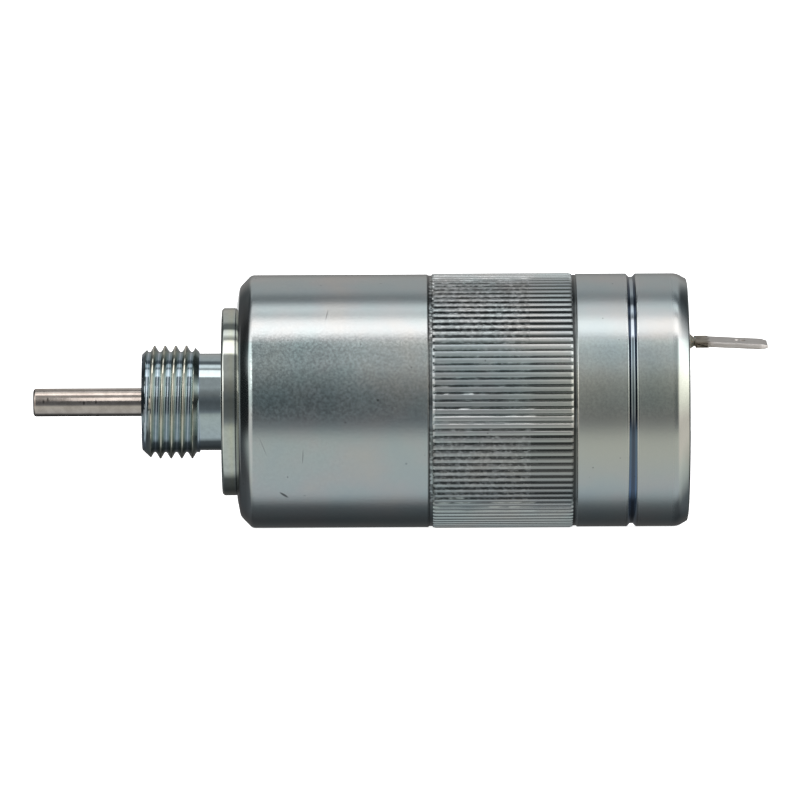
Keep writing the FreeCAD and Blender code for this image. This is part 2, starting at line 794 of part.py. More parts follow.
def cut_for_rivet(body, name, diameter, front, depth):
    """Cut a round hole at the rivet's place below the terminal, turned as the terminal is."""
    sketch = new_sketch(body, name + "_circle", "YZ_Plane")
    place_sketch(sketch, up=tab_height, out=front, turn=size("tab_turn"))
    add_circle(sketch, 0, -size("rivet_inset"), diameter)
    pocket(body, name, sketch, depth)


def turn_with_tab(body):
    """Stand a body that was drawn about the terminal's own axis where the terminal is."""
    body.Placement = FreeCAD.Placement(Vector(0, 0, 0), FreeCAD.Rotation(Vector(1, 0, 0), 1))
    body.setExpression("Placement.Base.z", tab_height.text)
    body.setExpression("Placement.Rotation.Angle", size("tab_turn").text)


def make_terminal():
    """Plated brass blade with a foot that is riveted under the cover."""
    half = size("tab_thickness") / 2
    foot_length = size("rivet_inset") + size("foot_margin")
    droop = size("tab_droop")
    step = size("tab_tip_step")
    bevel_start = tab_tip - size("tab_tip_bevel")
    body = new_body("blade_terminal")
    profile = new_sketch(body, "terminal_side", "XZ_Plane")
    add_outline(profile, [
        (foot_front, half),
        (shoulder, half),
        (bevel_start, half - droop),
        (tab_tip, half - droop - step),
        (tab_tip, -half - droop + step),
        (bevel_start, -half - droop),
        (shoulder, -half),
        (cover_front, -half),
        (cover_front, -foot_length),
        (foot_front, -foot_length),
    ])
    strip = body.newObject("PartDesign::Pad", "terminal_strip")
    strip.Profile = profile
    strip.Midplane = True
    strip.setExpression("Length", "Sizes.shank_width")
    doc.recompute()

    trim = new_sketch(body, "blade_trim", "XY_Plane")
    place_sketch(trim, out=-foot_length)
    blade_half = size("tab_width") / 2
    outside = size("shank_width")
    corner = size("tab_corner")
    for side in (1, -1):
        add_outline(trim, [
            (shoulder, blade_half * side),
            (tab_tip - corner, blade_half * side),
            (tab_tip, (blade_half - corner / 2) * side),
            (tab_tip + corner, (blade_half - corner / 2) * side),
            (tab_tip + corner, outside * side),
            (shoulder, outside * side),
        ])
    doc.recompute()
    pocket(body, "blade_trim_cut", trim, foot_length * 2)

    hole = new_sketch(body, "blade_hole", "XY_Plane")
    place_sketch(hole, out=-foot_length)
    add_circle(hole, tab_tip - size("tab_hole_inset"), 0, size("tab_hole"))
    pocket(body, "blade_hole_cut", hole, foot_length * 2)

    rivet_hole = new_sketch(body, "foot_hole", "YZ_Plane")
    place_sketch(rivet_hole, out=foot_front)
    add_circle(rivet_hole, 0, -size("rivet_inset"), size("rivet_size"))
    pocket(body, "foot_hole_cut", rivet_hole, size("tab_thickness"))
    turn_with_tab(body)

    head = size("rivet_head_thickness")
    shank_radius = size("rivet_size") / 2
    head_radius = size("rivet_head_size") / 2
    rivet = new_body("terminal_rivet")
    sketch = new_sketch(rivet, "rivet_side", "XZ_Plane")
    place_sketch(sketch, up=-size("rivet_inset"))
    add_outline(sketch, [
        (foot_front - head, 0),
        (foot_front - head, head_radius),
        (foot_front, head_radius),
        (foot_front, shank_radius),
        (cover_rear, shank_radius),
        (cover_rear, head_radius),
        (cover_rear + head, head_radius),
        (cover_rear + head, 0),
    ])
    turn = rivet.newObject("PartDesign::Revolution", "rivet_turning")
    turn.Profile = sketch
    turn.ReferenceAxis = (sketch, ["H_Axis"])
    turn.Angle = 360
    turn_with_tab(rivet)


def check_objects():
    """Stop if any feature failed or any sub-part's shape is empty or broken."""
    for item in doc.Objects:
        if "Invalid" in item.State or "Error" in item.State:
            raise RuntimeError("{} failed: {}".format(item.Name, item.State))
    for item in subparts:
        if item.Shape.isNull() or not item.Shape.isValid() or not item.Shape.Solids:
            raise RuntimeError("{} has no valid solid".format(item.Label))


def export_subparts():
    """Write each sub-part to its own file."""
    os.makedirs("parts", exist_ok=True)
    for item in subparts:
        item.Shape.exportStep(os.path.join("parts", item.Label + ".step"))
        bounds = item.Shape.BoundBox
        print("{:18s} {:9.1f} mm3  X {:6.2f} to {:6.2f}".format(
            item.Label, item.Shape.Volume, bounds.XMin, bounds.XMax))


fill_sheet()
make_case()
make_threaded_nose()
make_nose_fittings()
make_front_stack()
make_coil()
make_armature()
make_push_pin()
make_pin_clip()
make_return_spring()
make_rear_pole()
make_leads()
make_rear_closure()
make_terminal()
doc.recompute()
check_objects()
export_subparts()
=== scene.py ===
import math

import bmesh
import bpy
import numpy as np
from mathutils import Matrix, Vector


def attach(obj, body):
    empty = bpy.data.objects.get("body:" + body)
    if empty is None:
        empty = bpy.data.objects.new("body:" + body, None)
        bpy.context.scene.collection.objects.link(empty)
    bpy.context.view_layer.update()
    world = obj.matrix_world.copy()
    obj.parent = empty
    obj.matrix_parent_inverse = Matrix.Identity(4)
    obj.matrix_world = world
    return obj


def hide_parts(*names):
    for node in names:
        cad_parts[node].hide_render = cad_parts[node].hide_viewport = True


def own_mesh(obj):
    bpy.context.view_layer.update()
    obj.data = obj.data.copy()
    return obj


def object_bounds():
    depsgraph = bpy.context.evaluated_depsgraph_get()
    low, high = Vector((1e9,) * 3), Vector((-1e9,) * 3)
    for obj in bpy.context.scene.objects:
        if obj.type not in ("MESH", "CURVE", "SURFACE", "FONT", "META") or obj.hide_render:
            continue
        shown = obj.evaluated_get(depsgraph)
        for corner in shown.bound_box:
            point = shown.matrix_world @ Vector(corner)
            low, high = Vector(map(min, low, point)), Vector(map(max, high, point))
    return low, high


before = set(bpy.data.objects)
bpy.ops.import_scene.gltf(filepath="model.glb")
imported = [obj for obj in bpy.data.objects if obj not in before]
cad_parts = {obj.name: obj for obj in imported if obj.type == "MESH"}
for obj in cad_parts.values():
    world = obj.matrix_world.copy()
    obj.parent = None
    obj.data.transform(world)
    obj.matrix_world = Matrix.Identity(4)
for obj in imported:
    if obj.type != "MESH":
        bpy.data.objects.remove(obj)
cad_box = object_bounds()


# The camera looks level at the side of the solenoid from 1.35 m away with a long lens, so its
# round ends show almost edge on. It leans by about a quarter of a degree, as in the photo.
camera_distance = 1.35
view_centre = (0.0251, 0.00012)
camera_lean = math.radians(0.27)

camera = bpy.data.cameras.new("side_camera")
camera.sensor_width = 36
camera.lens = 430
camera_object = bpy.data.objects.new("side_camera", camera)
camera_object.matrix_world = (
    Matrix.Translation((view_centre[0], -camera_distance, view_centre[1]))
    @ Matrix.Rotation(camera_lean, 4, "Y")
    @ Matrix.Rotation(math.radians(90), 4, "X"))
bpy.context.scene.collection.objects.link(camera_object)
bpy.context.scene.camera = camera_object
bpy.context.scene.view_settings.view_transform = "Standard"


# Soft studio light: a white tent round the table, with a lamp window above and in front, the
# dark gap that the camera looks through, and dark seams between the tent's panels. A polished
# cylinder along X shows these as bands, each at an angle round X that starts at the camera.
def linear(hex_colour):
    """An sRGB hex colour as linear red, green, blue and 1, by the sRGB curve."""
    channels = np.array([int(hex_colour[i:i + 2], 16) for i in (1, 3, 5)]) / 255
    curve = np.where(channels <= 0.04045, channels / 12.92, ((channels + 0.055) / 1.055) ** 2.4)
    return (*curve.tolist(), 1.0)


def add_node(tree, kind, settings=None, sockets=None, stops=None):
    """Add one node, set its properties, fill each socket with a value or a link from another
    node's output, and give a ramp its stops, which are (position, colour) pairs."""
    node = tree.nodes.new(kind)
    for name, value in (settings or {}).items():
        setattr(node, name, value)
    for name, value in (sockets or {}).items():
        if isinstance(value, bpy.types.NodeSocket):
            tree.links.new(value, node.inputs[name])
        else:
            node.inputs[name].default_value = value
    for number, (position, colour) in enumerate(stops or []):
        if number >= len(node.color_ramp.elements):
            node.color_ramp.elements.new(position)
        node.color_ramp.elements[number].position = position
        node.color_ramp.elements[number].color = colour
    return node


white, cool, warm = (1.0, 1.0, 1.0), (0.95, 1.0, 1.02), (1.02, 1.0, 0.97)
blue_seam, green_card, sky_card = (0.90, 1.0, 1.08), (0.93, 1.0, 0.97), (0.92, 1.0, 1.04)


def band_stops(bands):
    """Ramp stops from (degrees from the camera towards the top, brightness, tint) bands."""
    return [((angle + 180) / 360, (light * tint[0], light * tint[1], light * tint[2], 1))
            for angle, light, tint in bands]


side_bands = band_stops([
    (-180, 0.05, white), (-166, 0.04, white), (-140, 0.018, blue_seam), (-110, 0.044, blue_seam),
    (-101, 0.180, sky_card), (-95, 0.256, sky_card), (-38, 0.265, green_card),
    (-31, 0.216, green_card), (-25, 0.108, blue_seam),
    (-18, 0.066, blue_seam), (0, 0.050, blue_seam), (8, 0.068, blue_seam), (16, 0.090, cool),
    (25, 0.128, cool), (34, 0.195, cool), (42, 0.180, cool), (49, 0.185, cool), (60, 0.18, cool),
    (63, 0.91, white), (80, 0.71, white), (83, 0.17, cool), (87, 0.28, cool), (91, 0.56, cool),
    (98, 0.44, cool), (101, 0.08, blue_seam), (110, 0.075, blue_seam), (117, 0.22, cool),
    (150, 0.203, warm), (160, 0.13, warm), (172, 0.10, white), (177, 0.45, white),
    (180, 0.55, white)])
end_bands = band_stops([
    (-180, 0.025, blue_seam), (-143, 0.05, blue_seam), (-122, 0.06, blue_seam),
    (-99, 0.24, green_card), (-75, 0.32, green_card), (-53, 0.35, warm), (-28, 0.32, warm),
    (0, 0.42, warm), (28, 0.65, warm), (53, 0.78, white), (73, 0.65, white), (88, 0.30, cool),
    (105, 0.06, blue_seam), (122, 0.02, blue_seam), (143, 0.05, cool), (160, 0.05, cool),
    (180, 0.02, blue_seam)])
corner_bands = band_stops([
    (-180, 0.22, cool), (-152, 0.18, cool), (-138, 0.04, blue_seam), (-122, 0.05, blue_seam),
    (-99, 0.22, green_card), (-53, 0.35, warm), (-28, 0.32, warm), (0, 0.42, warm),
    (28, 0.65, warm), (53, 0.78, white), (73, 0.65, white), (88, 0.28, cool), (105, 0.04, cool),
    (122, 0.012, blue_seam), (138, 0.03, cool), (152, 0.20, cool), (180, 0.22, cool)])
# From the middle to each end the panels change at these shares of the way along X: where the
# change starts, where it is full, and what follows. The last is the tent's unlit end.
panel_changes = ((0.24, 0.48, end_bands), (0.72, 0.80, corner_bands), (0.93, 0.985, None))
unlit_end = (0.008, 0.009, 0.010, 1)
tent_strength = 2.2

world = bpy.data.worlds.new("studio_tent")
bpy.context.scene.world = world
world.use_nodes = True
tree = world.node_tree
tree.nodes.clear()
place = add_node(tree, "ShaderNodeTexCoord")
parts = add_node(tree, "ShaderNodeSeparateXYZ", sockets={0: place.outputs["Generated"]})
towards = add_node(tree, "ShaderNodeMath", {"operation": "MULTIPLY"},
                   {0: parts.outputs["Y"], 1: -1.0})
angle = add_node(tree, "ShaderNodeMath", {"operation": "ARCTAN2"},
                 {0: parts.outputs["Z"], 1: towards.outputs[0]})
turned_share = add_node(tree, "ShaderNodeMapRange", {}, {
    "Value": angle.outputs[0], "From Min": -math.pi, "From Max": math.pi})
sideways = add_node(tree, "ShaderNodeMath", {"operation": "ABSOLUTE"}, {0: parts.outputs["X"]})
tent = add_node(tree, "ShaderNodeValToRGB", {}, {0: turned_share.outputs[0]}, side_bands)
for start, full, bands in panel_changes:
    share = add_node(tree, "ShaderNodeMapRange", {"interpolation_type": "SMOOTHSTEP"}, {
        "Value": sideways.outputs[0], "From Min": start, "From Max": full})
    blend = add_node(tree, "ShaderNodeMix", {"data_type": "RGBA"}, {
        0: share.outputs[0], 6: tent.outputs[2 if tent.type == "MIX" else 0]})
    if bands is None:
        blend.inputs[7].default_value = unlit_end
    else:
        panel = add_node(tree, "ShaderNodeValToRGB", {}, {0: turned_share.outputs[0]}, bands)
        tree.links.new(panel.outputs[0], blend.inputs[7])
    tent = blend
path = add_node(tree, "ShaderNodeLightPath")
seen = add_node(tree, "ShaderNodeMix", {"data_type": "RGBA"}, {
    0: path.outputs["Is Camera Ray"], 6: tent.outputs[2], 7: (1, 1, 1, 1)})
light = add_node(tree, "ShaderNodeBackground", {}, {
    "Color": seen.outputs[2], "Strength": tent_strength})
add_node(tree, "ShaderNodeOutputWorld", {}, {"Surface": light.outputs[0]})

# A small soft lamp near the pin puts one more bright line along it
pin_lamp_place = (-0.0215, -0.06, 0.0)
pin_lamp_turn = math.radians(-24)

pin_lamp = bpy.data.lights.new("pin_lamp", "AREA")
pin_lamp.shape = "RECTANGLE"
pin_lamp.size, pin_lamp.size_y = 0.0155, 0.0255
pin_lamp.energy = 0.0017
pin_lamp_object = bpy.data.objects.new("pin_lamp", pin_lamp)
pin_lamp_object.matrix_world = (
    Matrix.Rotation(pin_lamp_turn, 4, "X")
    @ Matrix.Translation(pin_lamp_place)
    @ Matrix.Rotation(math.radians(90), 4, "X"))
bpy.context.scene.collection.objects.link(pin_lamp_object)
pin_lamp_object.visible_camera = False


# The floor is a pale matt sheet lit from below, as product tables are. It takes the soft shadow
# of the solenoid, and the solenoid itself sees only the tent's lower panels.
floor_height = cad_box[0][2]
floor_half = 4.0
floor_glow = 0.86
floor_corners = [(along * floor_half, across * floor_half, floor_height)
                 for along, across in ((-1, -1), (1, -1), (1, 1), (-1, 1))]

floor_mesh = bpy.data.meshes.new("studio_floor")
floor_mesh.from_pydata(floor_corners, [], [(0, 1, 2, 3)])
floor = bpy.data.objects.new("studio_floor", floor_mesh)
bpy.context.scene.collection.objects.link(floor)
paper = bpy.data.materials.new("matt_white_paper")
paper.use_nodes = True
tree = paper.node_tree
tree.nodes.clear()
lit = add_node(tree, "ShaderNodeBsdfDiffuse", {}, {"Color": linear("#E8E8E8")})
glow = add_node(tree, "ShaderNodeEmission", {}, {
    "Color": (1, 1, 1, 1), "Strength": floor_glow})
both = add_node(tree, "ShaderNodeAddShader", {}, {0: lit.outputs[0], 1: glow.outputs[0]})
add_node(tree, "ShaderNodeOutputMaterial", {}, {"Surface": both.outputs[0]})
floor_mesh.materials.append(paper)
floor.visible_glossy = False
floor.visible_diffuse = False
floor.visible_transmission = False
floor.visible_shadow = False


# The case is a steel cup, drawn and turned, with a straight knurl rolled round its grip, a
# groove rolled in over the rear pole and its rear edge rolled over the cover. It is zinc
# plated and clear passivated, which leaves it pale, a little blue, and faintly clouded.
def rounded(corners, steps=4):
    """An outline from (x, radius, cut) corners in mm. Each corner is replaced by a parabola that
    is tangent to both sides and starts and ends that cut away from it: (1-s)^2 A + 2s(1-s) P +
    s^2 B, where A and B lie on the sides and P is the corner."""
    corners = np.array(corners, dtype=float)
    point, cut = corners[:, :2], corners[:, 2:]
    to_last = np.roll(point, 1, axis=0) - point
    to_next = np.roll(point, -1, axis=0) - point
    start = point + to_last / np.linalg.norm(to_last, axis=1, keepdims=True) * cut
    end = point + to_next / np.linalg.norm(to_next, axis=1, keepdims=True) * cut
    s = np.linspace(0, 1, steps)[None, :, None]
    arcs = ((1 - s) ** 2 * start[:, None] + 2 * s * (1 - s) * point[:, None]
            + s ** 2 * end[:, None])
    outline = arcs.reshape(-1, 2)
    moved = np.linalg.norm(outline - np.roll(outline, 1, axis=0), axis=1) > 1e-6
    return outline[moved]


def swept(x, radius, turn):
    """Points at x, radius and angle: (x, -radius cos turn, radius sin turn), so that an angle
    of 0 faces the camera and a quarter turn faces up."""
    x, radius, turn = np.broadcast_arrays(x, radius, turn)
    return np.stack([x, -radius * np.cos(turn), radius * np.sin(turn)], axis=-1)


def grid_faces(rows, columns, joined_rows, joined_columns, first=0):
    """Four-sided faces between neighbouring points of a grid, numbered row by row, with the last
    row or column joined to the first where it closes."""
    row = np.arange(rows if joined_rows else rows - 1)[:, None]
    column = np.arange(columns if joined_columns else columns - 1)[None, :]
    below, beside = (row + 1) % rows, (column + 1) % columns
    corners = [row * columns + column, below * columns + column,
               below * columns + beside, row * columns + beside]
    return np.stack(corners, axis=-1).reshape(-1, 4) + first


def make_piece(name, patches, crease=30):
    """One closed mesh object from patches, each a (grid of points in mm, joined rows, joined
    columns) triple. Points that meet are merged, open rims are filled, faces are turned
    outwards, and edges that bend by more than the crease angle in degrees stay sharp."""
    points, faces, count = [], [], 0
    for grid, joined_rows, joined_columns in patches:
        rows, columns = grid.shape[:2]
        points.append(grid.reshape(-1, 3) / 1000)
        faces.append(grid_faces(rows, columns, joined_rows, joined_columns, count))
        count += rows * columns
    mesh = bpy.data.meshes.new(name)
    mesh.from_pydata(np.concatenate(points).tolist(), [], np.concatenate(faces).tolist())
    work = bmesh.new()
    work.from_mesh(mesh)
    bmesh.ops.remove_doubles(work, verts=work.verts, dist=1e-6)
    bmesh.ops.dissolve_degenerate(work, edges=work.edges, dist=1e-7)
    bmesh.ops.holes_fill(work, edges=[edge for edge in work.edges if edge.is_boundary])
    bmesh.ops.recalc_face_normals(work, faces=work.faces)
    work.to_mesh(mesh)
    work.free()
    mesh.polygons.foreach_set("use_smooth", np.ones(len(mesh.polygons), dtype=bool))
    mesh.set_sharp_from_angle(angle=math.radians(crease))
    piece = bpy.data.objects.new(name, mesh)
    bpy.context.scene.collection.objects.link(piece)
    return piece


case_front, case_rear = 2.1, 65.7
case_radius, case_bore = 17.875, 15.375
wall_front, wall_rear, wall_hole = 3.3, 5.1, 9.0
lip_front, lip_bore = 64.6, 14.2
knurl_front, knurl_rear = 29.6, 49.4
knurl_crest, gap_radius = 17.975, 17.725
groove_radius, bead_bore = 17.425, 15.025
tooth_count, knurl_rows, run_in_length = 108, 27, 0.12
# Up to this X, over its front two thirds, the knurl is rolled less deep, by the first of these
# shares at most, and its depth wavers by the second
less_deep_end = 43.3
shallower_by, wavers_by = 0.16, 0.07
# Places round one tooth, as shares of its pitch from the bottom of a square vee, and the drop
# in mm from the crest there: the crest is crowned by 12 degrees at the vee's rims
tooth_places = np.array([0.0, 0.03, 0.26, 0.38, 0.5, 0.62, 0.74, 0.97])
tooth_drop = np.array([0.285, 0.276, 0.035, 0.009, 0.0, 0.009, 0.035, 0.276])

# From the front wall's hole back over the skin, round the rolled lip and forward along the bore
case_outline = rounded([
    (wall_front, wall_hole, 0), (wall_front, 10.5, 0), (case_front, 10.5, 0.1),
    (case_front, 13.8, 0.3),
    (2.55, 16.2, 0.45), (4.2, case_radius, 0.42), (29.0, case_radius, 0.05),
    (29.15, gap_radius, 0), (knurl_front, gap_radius, 0), (29.66, 17.86, 0.03),
    (30.05, knurl_crest, 0.12), (48.95, knurl_crest, 0.12), (49.34, 17.86, 0.03),
    (knurl_rear, gap_radius, 0), (49.85, gap_radius, 0), (50.0, case_radius, 0.05),
    (57.025, case_radius, 0.07), (57.435, groove_radius, 0.07), (57.885, groove_radius, 0.07),
    (58.295, case_radius, 0.07), (64.15, case_radius, 0.5), (65.54, 17.1, 0.12),
    (case_rear, 16.5, 0.12), (case_rear, lip_bore, 0.3), (lip_front, lip_bore, 0),
    (lip_front, case_bore, 0), (58.46, case_bore, 0), (57.91, bead_bore, 0),
    (57.41, bead_bore, 0), (56.86, case_bore, 0), (wall_rear, case_bore, 0),
    (wall_rear, wall_hole, 0)])
# The knurl needs rows of its own between its ends, because its depth varies along the teeth
crest_rows = np.flatnonzero(np.isclose(case_outline[:, 1], knurl_crest, atol=0.001))
along_knurl = np.linspace(30.3, 48.7, knurl_rows)
crest_line = np.stack([along_knurl, np.full(knurl_rows, knurl_crest)], axis=1)
case_outline = np.insert(case_outline, crest_rows[crest_rows.size // 2], crest_line, axis=0)

tooth_turns = (np.arange(tooth_count)[:, None] + tooth_places[None, :]).reshape(-1)
turn = tooth_turns * math.tau / tooth_count + math.pi / 2
x = case_outline[:, :1]
radius = case_outline[:, 1:]
tooth_number = np.repeat(np.arange(tooth_count), tooth_places.size)
chance = np.random.default_rng(7)
tooth_wear = chance.uniform(0, 1, tooth_count)[None, tooth_number]
depth_waver = chance.uniform(-1, 1, (x.shape[0], tooth_count))[:, tooth_number]
# Depth of the teeth as a share of the full depth: 1, less a share that differs from tooth to
# tooth, plus one that differs along X, in the less deep part alone
first_pass = (x < less_deep_end) * 1.0
rolled = (1 - shallower_by * first_pass * (0.3 + 0.7 * tooth_wear)
          + wavers_by * first_pass * depth_waver)
# Each end of the knurl runs in over a short length, by the square root of the way along it
run_in = (np.clip((x - knurl_front) / run_in_length, 0, 1)
          * np.clip((knurl_rear - x) / run_in_length, 0, 1))
tooth_cut = np.tile(tooth_drop, tooth_count)[None, :] * rolled
# The teeth are cut into the skin alone, not into the bore that passes the same X
outside = radius > case_bore + 0.5
cut_radius = knurl_crest - tooth_cut * np.sqrt(run_in)
knurled = np.where((run_in > 0) & outside, np.minimum(radius, cut_radius), radius)
case = make_piece("case_shell", [(swept(x, knurled, turn[None, :]), True, True)], crease=25)
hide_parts("case")
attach(case, "housing")


def new_material(name):
    """An empty node material with its Principled shader and its Object coordinates."""
    material = bpy.data.materials.new(name)
    material.use_nodes = True
    tree = material.node_tree
    tree.nodes.clear()
    shader = add_node(tree, "ShaderNodeBsdfPrincipled")
    add_node(tree, "ShaderNodeOutputMaterial", {}, {"Surface": shader.outputs[0]})
    place = add_node(tree, "ShaderNodeTexCoord").outputs["Object"]
    return material, tree, shader, place


def put(tree, shader, **sockets):
    """Link outputs to the shader's sockets, or set values on them, by socket name with _ for a
    space."""
    for name, value in sockets.items():
        socket = shader.inputs[name.replace("_", " ")]
        if isinstance(value, bpy.types.NodeSocket):
            tree.links.new(value, socket)
        else:
            socket.default_value = value


# Zinc plate with clear passivation: crystals of 0.4 mm and finer give a grain, strongest near
# the front, and the film's thickness gives clouds of blue, straw and pink some 10 mm across.
# The rolled groove has painted shade and reflections. Handling left a few scratches and a nick.
along_span = 0.066
patch_height = 0.0032
groove_middle, groove_half_width = 0.05775, 0.00125
# The knurl with the turned gap at each of its ends, and the front edges of the two gaps
knurl_middle, knurl_half_length = 0.0395, 0.0104
gap_middle, gap_reach = 0.0393, 0.0102

zinc_on_case, tree, shader, place = new_material("zinc_plated_drawn_steel")
clouds = add_node(tree, "ShaderNodeTexNoise", {}, {"Vector": place, "Scale": 110.0, "Detail": 4.0})
parts = add_node(tree, "ShaderNodeSeparateXYZ", sockets={0: place})
# Straw gathers towards the rear, in a belt below the middle
towards_rear = add_node(tree, "ShaderNodeMapRange", {"interpolation_type": "SMOOTHSTEP"}, {
    "Value": parts.outputs["X"], "From Min": 0.036, "From Max": 0.054})
low_down = add_node(tree, "ShaderNodeMapRange", {"interpolation_type": "SMOOTHSTEP"}, {
    "Value": parts.outputs["Z"], "From Min": 0.0065, "From Max": 0.0015})
above_foot = add_node(tree, "ShaderNodeMapRange", {"interpolation_type": "SMOOTHSTEP"}, {
    "Value": parts.outputs["Z"], "From Min": -0.0135, "From Max": -0.0070})
straw_band = add_node(tree, "ShaderNodeMath", {"operation": "MULTIPLY"},
                      {0: low_down.outputs[0], 1: above_foot.outputs[0]})
straw = add_node(tree, "ShaderNodeMath", {"operation": "MULTIPLY"},
                 {0: towards_rear.outputs[0], 1: straw_band.outputs[0]})
film = add_node(tree, "ShaderNodeValToRGB", {}, {0: clouds.outputs["Fac"]}, [
    (0.32, linear("#C0C9CB")), (0.44, linear("#C4CBCB")), (0.54, linear("#C8CACA")),
    (0.66, linear("#CDCBC8"))])
rear_film = add_node(tree, "ShaderNodeMix", {"data_type": "RGBA"}, {
    0: straw.outputs[0], 6: film.outputs[0], 7: linear("#CDCCC3")})
grain = add_node(tree, "ShaderNodeTexNoise", {}, {
    "Vector": place, "Scale": 2500.0, "Detail": 3.0, "Roughness": 0.65})
# Along the case, from X 0 to 66 mm: roughness, relief and grain as one ramp's red, green and blue
share_along = add_node(tree, "ShaderNodeMath", {"operation": "DIVIDE"},
                       {0: parts.outputs["X"], 1: along_span})
finish_along = add_node(tree, "ShaderNodeValToRGB", {}, {0: share_along.outputs[0]}, [
    (0.060, (0.12, 0.02, 0.0, 1)), (0.067, (0.20, 0.12, 1.0, 1)), (0.20, (0.20, 0.12, 1.0, 1)),
    (0.32, (0.22, 0.20, 0.65, 1)), (0.44, (0.22, 0.20, 0.45, 1)), (0.447, (0.15, 0.08, 0.1, 1)),
    (0.749, (0.15, 0.08, 0.1, 1)), (0.756, (0.265, 0.22, 0.40, 1)),
    (0.8625, (0.265, 0.22, 0.40, 1)), (0.8645, (0.05, 0.0, 0.0, 1)),
    (0.8828, (0.05, 0.0, 0.0, 1)), (0.8848, (0.265, 0.22, 0.40, 1)),
    (0.958, (0.265, 0.22, 0.40, 1)), (0.966, (0.15, 0.06, 0.10, 1))])
finish = add_node(tree, "ShaderNodeSeparateColor", sockets={0: finish_along.outputs[0]})
# The grain's colour contrast is painted strongest in a belt that the light grazes, a painted
# sheen, and fades above and below it
from_patch = add_node(tree, "ShaderNodeMath", {"operation": "SUBTRACT"},
                      {0: parts.outputs["Z"], 1: patch_height})
off_patch = add_node(tree, "ShaderNodeMath", {"operation": "ABSOLUTE"}, {0: from_patch.outputs[0]})
grazed_grain_share = add_node(tree, "ShaderNodeMapRange", {"interpolation_type": "SMOOTHSTEP"}, {
    "Value": off_patch.outputs[0], "From Min": 0.0045, "From Max": 0.0068,
    "To Min": 0.52, "To Max": 0.05})
grain_depth = add_node(tree, "ShaderNodeMath", {"operation": "MULTIPLY"},
                       {0: finish.outputs["Blue"], 1: grazed_grain_share.outputs[0]})
grain_wander = add_node(tree, "ShaderNodeMapRange", {}, {
    "Value": grain.outputs["Fac"], "From Min": 0.34, "From Max": 0.66,
    "To Min": -0.5, "To Max": 0.5})
grain_shade = add_node(tree, "ShaderNodeMath", {"operation": "MULTIPLY_ADD"},
                       {0: grain_wander.outputs[0], 1: grain_depth.outputs[0], 2: 1.0})
# Pits of 0.1 to 0.3 mm, some 2.4 mm apart
pits = add_node(tree, "ShaderNodeTexVoronoi", {}, {
    "Vector": place, "Scale": 420.0, "Randomness": 1.0})
pit_shade = add_node(tree, "ShaderNodeMapRange", {}, {
    "Value": pits.outputs["Distance"], "From Min": 0.03, "From Max": 0.065,
    "To Min": 0.55, "To Max": 1.0})
shade = add_node(tree, "ShaderNodeMath", {"operation": "MULTIPLY"},
                 {0: grain_shade.outputs[0], 1: pit_shade.outputs[0]})
# Marks: each one's middle and half sizes in mm, its lean in degrees, and the light it keeps
marks = (((8.8, -12.1, -13.1), (0.85, 1.5, 0.18), 32, 0.28),
         ((15.0, -14.0, 12.4), (0.14, 1.8, 1.3), 14, 0.68),
         ((11.5, -15.5, -7.6), (0.13, 1.8, 1.3), 3, 0.72),
         ((5.9, -16.0, -6.2), (0.12, 1.8, 1.8), -22, 0.82),
         ((22.0, -17.8, 0.1), (0.20, 1.5, 0.20), 0, 0.25),
         ((8.0, -17.0, 4.0), (0.15, 1.5, 0.15), 0, 0.5))
for middle, size, lean, light_kept in marks:
    spread = add_node(tree, "ShaderNodeMapping", {"vector_type": "TEXTURE"}, {
        "Vector": place, "Location": [value / 1000 for value in middle],
        "Rotation": (0, math.radians(lean), 0), "Scale": [value / 1000 for value in size]})
    reach = add_node(tree, "ShaderNodeVectorMath", {"operation": "LENGTH"}, {0: spread.outputs[0]})
    mark = add_node(tree, "ShaderNodeMapRange", {}, {
        "Value": reach.outputs["Value"], "From Min": 0.55, "From Max": 1.0,
        "To Min": light_kept, "To Max": 1.0})
    shade = add_node(tree, "ShaderNodeMath", {"operation": "MULTIPLY"},
                     {0: shade.outputs[0], 1: mark.outputs[0]})
flat_place = add_node(tree, "ShaderNodeVectorMath", {"operation": "MULTIPLY"},
                      {0: place, 1: (0.0, 1.0, 1.0)})
from_axis = add_node(tree, "ShaderNodeVectorMath", {"operation": "LENGTH"},
                     {0: flat_place.outputs[0]})
# The rolled groove's painted light and shade by depth, from its floor at 0 to the case's skin at
# 1: above the middle its floor is painted pale as a reflection and its walls dark as shade, and
# below it is the other way round, with a painted blue reflection on the walls
in_depth = add_node(tree, "ShaderNodeMapRange", {}, {
    "Value": from_axis.outputs["Value"], "From Min": 0.0174, "From Max": 0.0179})
groove_painted_above = add_node(tree, "ShaderNodeValToRGB", {}, {0: in_depth.outputs[0]}, [
    (0.06, (0.80, 0.86, 0.94, 1)), (0.14, (0.28, 0.33, 0.42, 1)), (0.74, (0.28, 0.33, 0.42, 1)),
    (0.93, (1, 1, 1, 1))])
groove_painted_below = add_node(tree, "ShaderNodeValToRGB", {}, {0: in_depth.outputs[0]}, [
    (0.06, (0.17, 0.21, 0.30, 1)), (0.20, (0.62, 0.74, 0.95, 1)), (0.74, (0.62, 0.74, 0.95, 1)),
    (0.93, (1, 1, 1, 1))])
below = add_node(tree, "ShaderNodeMapRange", {"interpolation_type": "SMOOTHSTEP"}, {
    "Value": parts.outputs["Z"], "From Min": -0.0015, "From Max": -0.0045})
groove_painted_light = add_node(tree, "ShaderNodeMix", {"data_type": "RGBA"}, {
    0: below.outputs[0], 6: groove_painted_above.outputs[0], 7: groove_painted_below.outputs[0]})
in_groove = add_node(tree, "ShaderNodeMath", {"operation": "COMPARE"},
                     {0: parts.outputs["X"], 1: groove_middle, 2: groove_half_width})
# The groove's painted reflections and shade multiply the case's colour there
groove_painted_colour = add_node(tree, "ShaderNodeMix", {"data_type": "RGBA", "blend_type": "MULTIPLY"}, {
    0: in_groove.outputs[0], 6: rear_film.outputs[2], 7: groove_painted_light.outputs[2]})
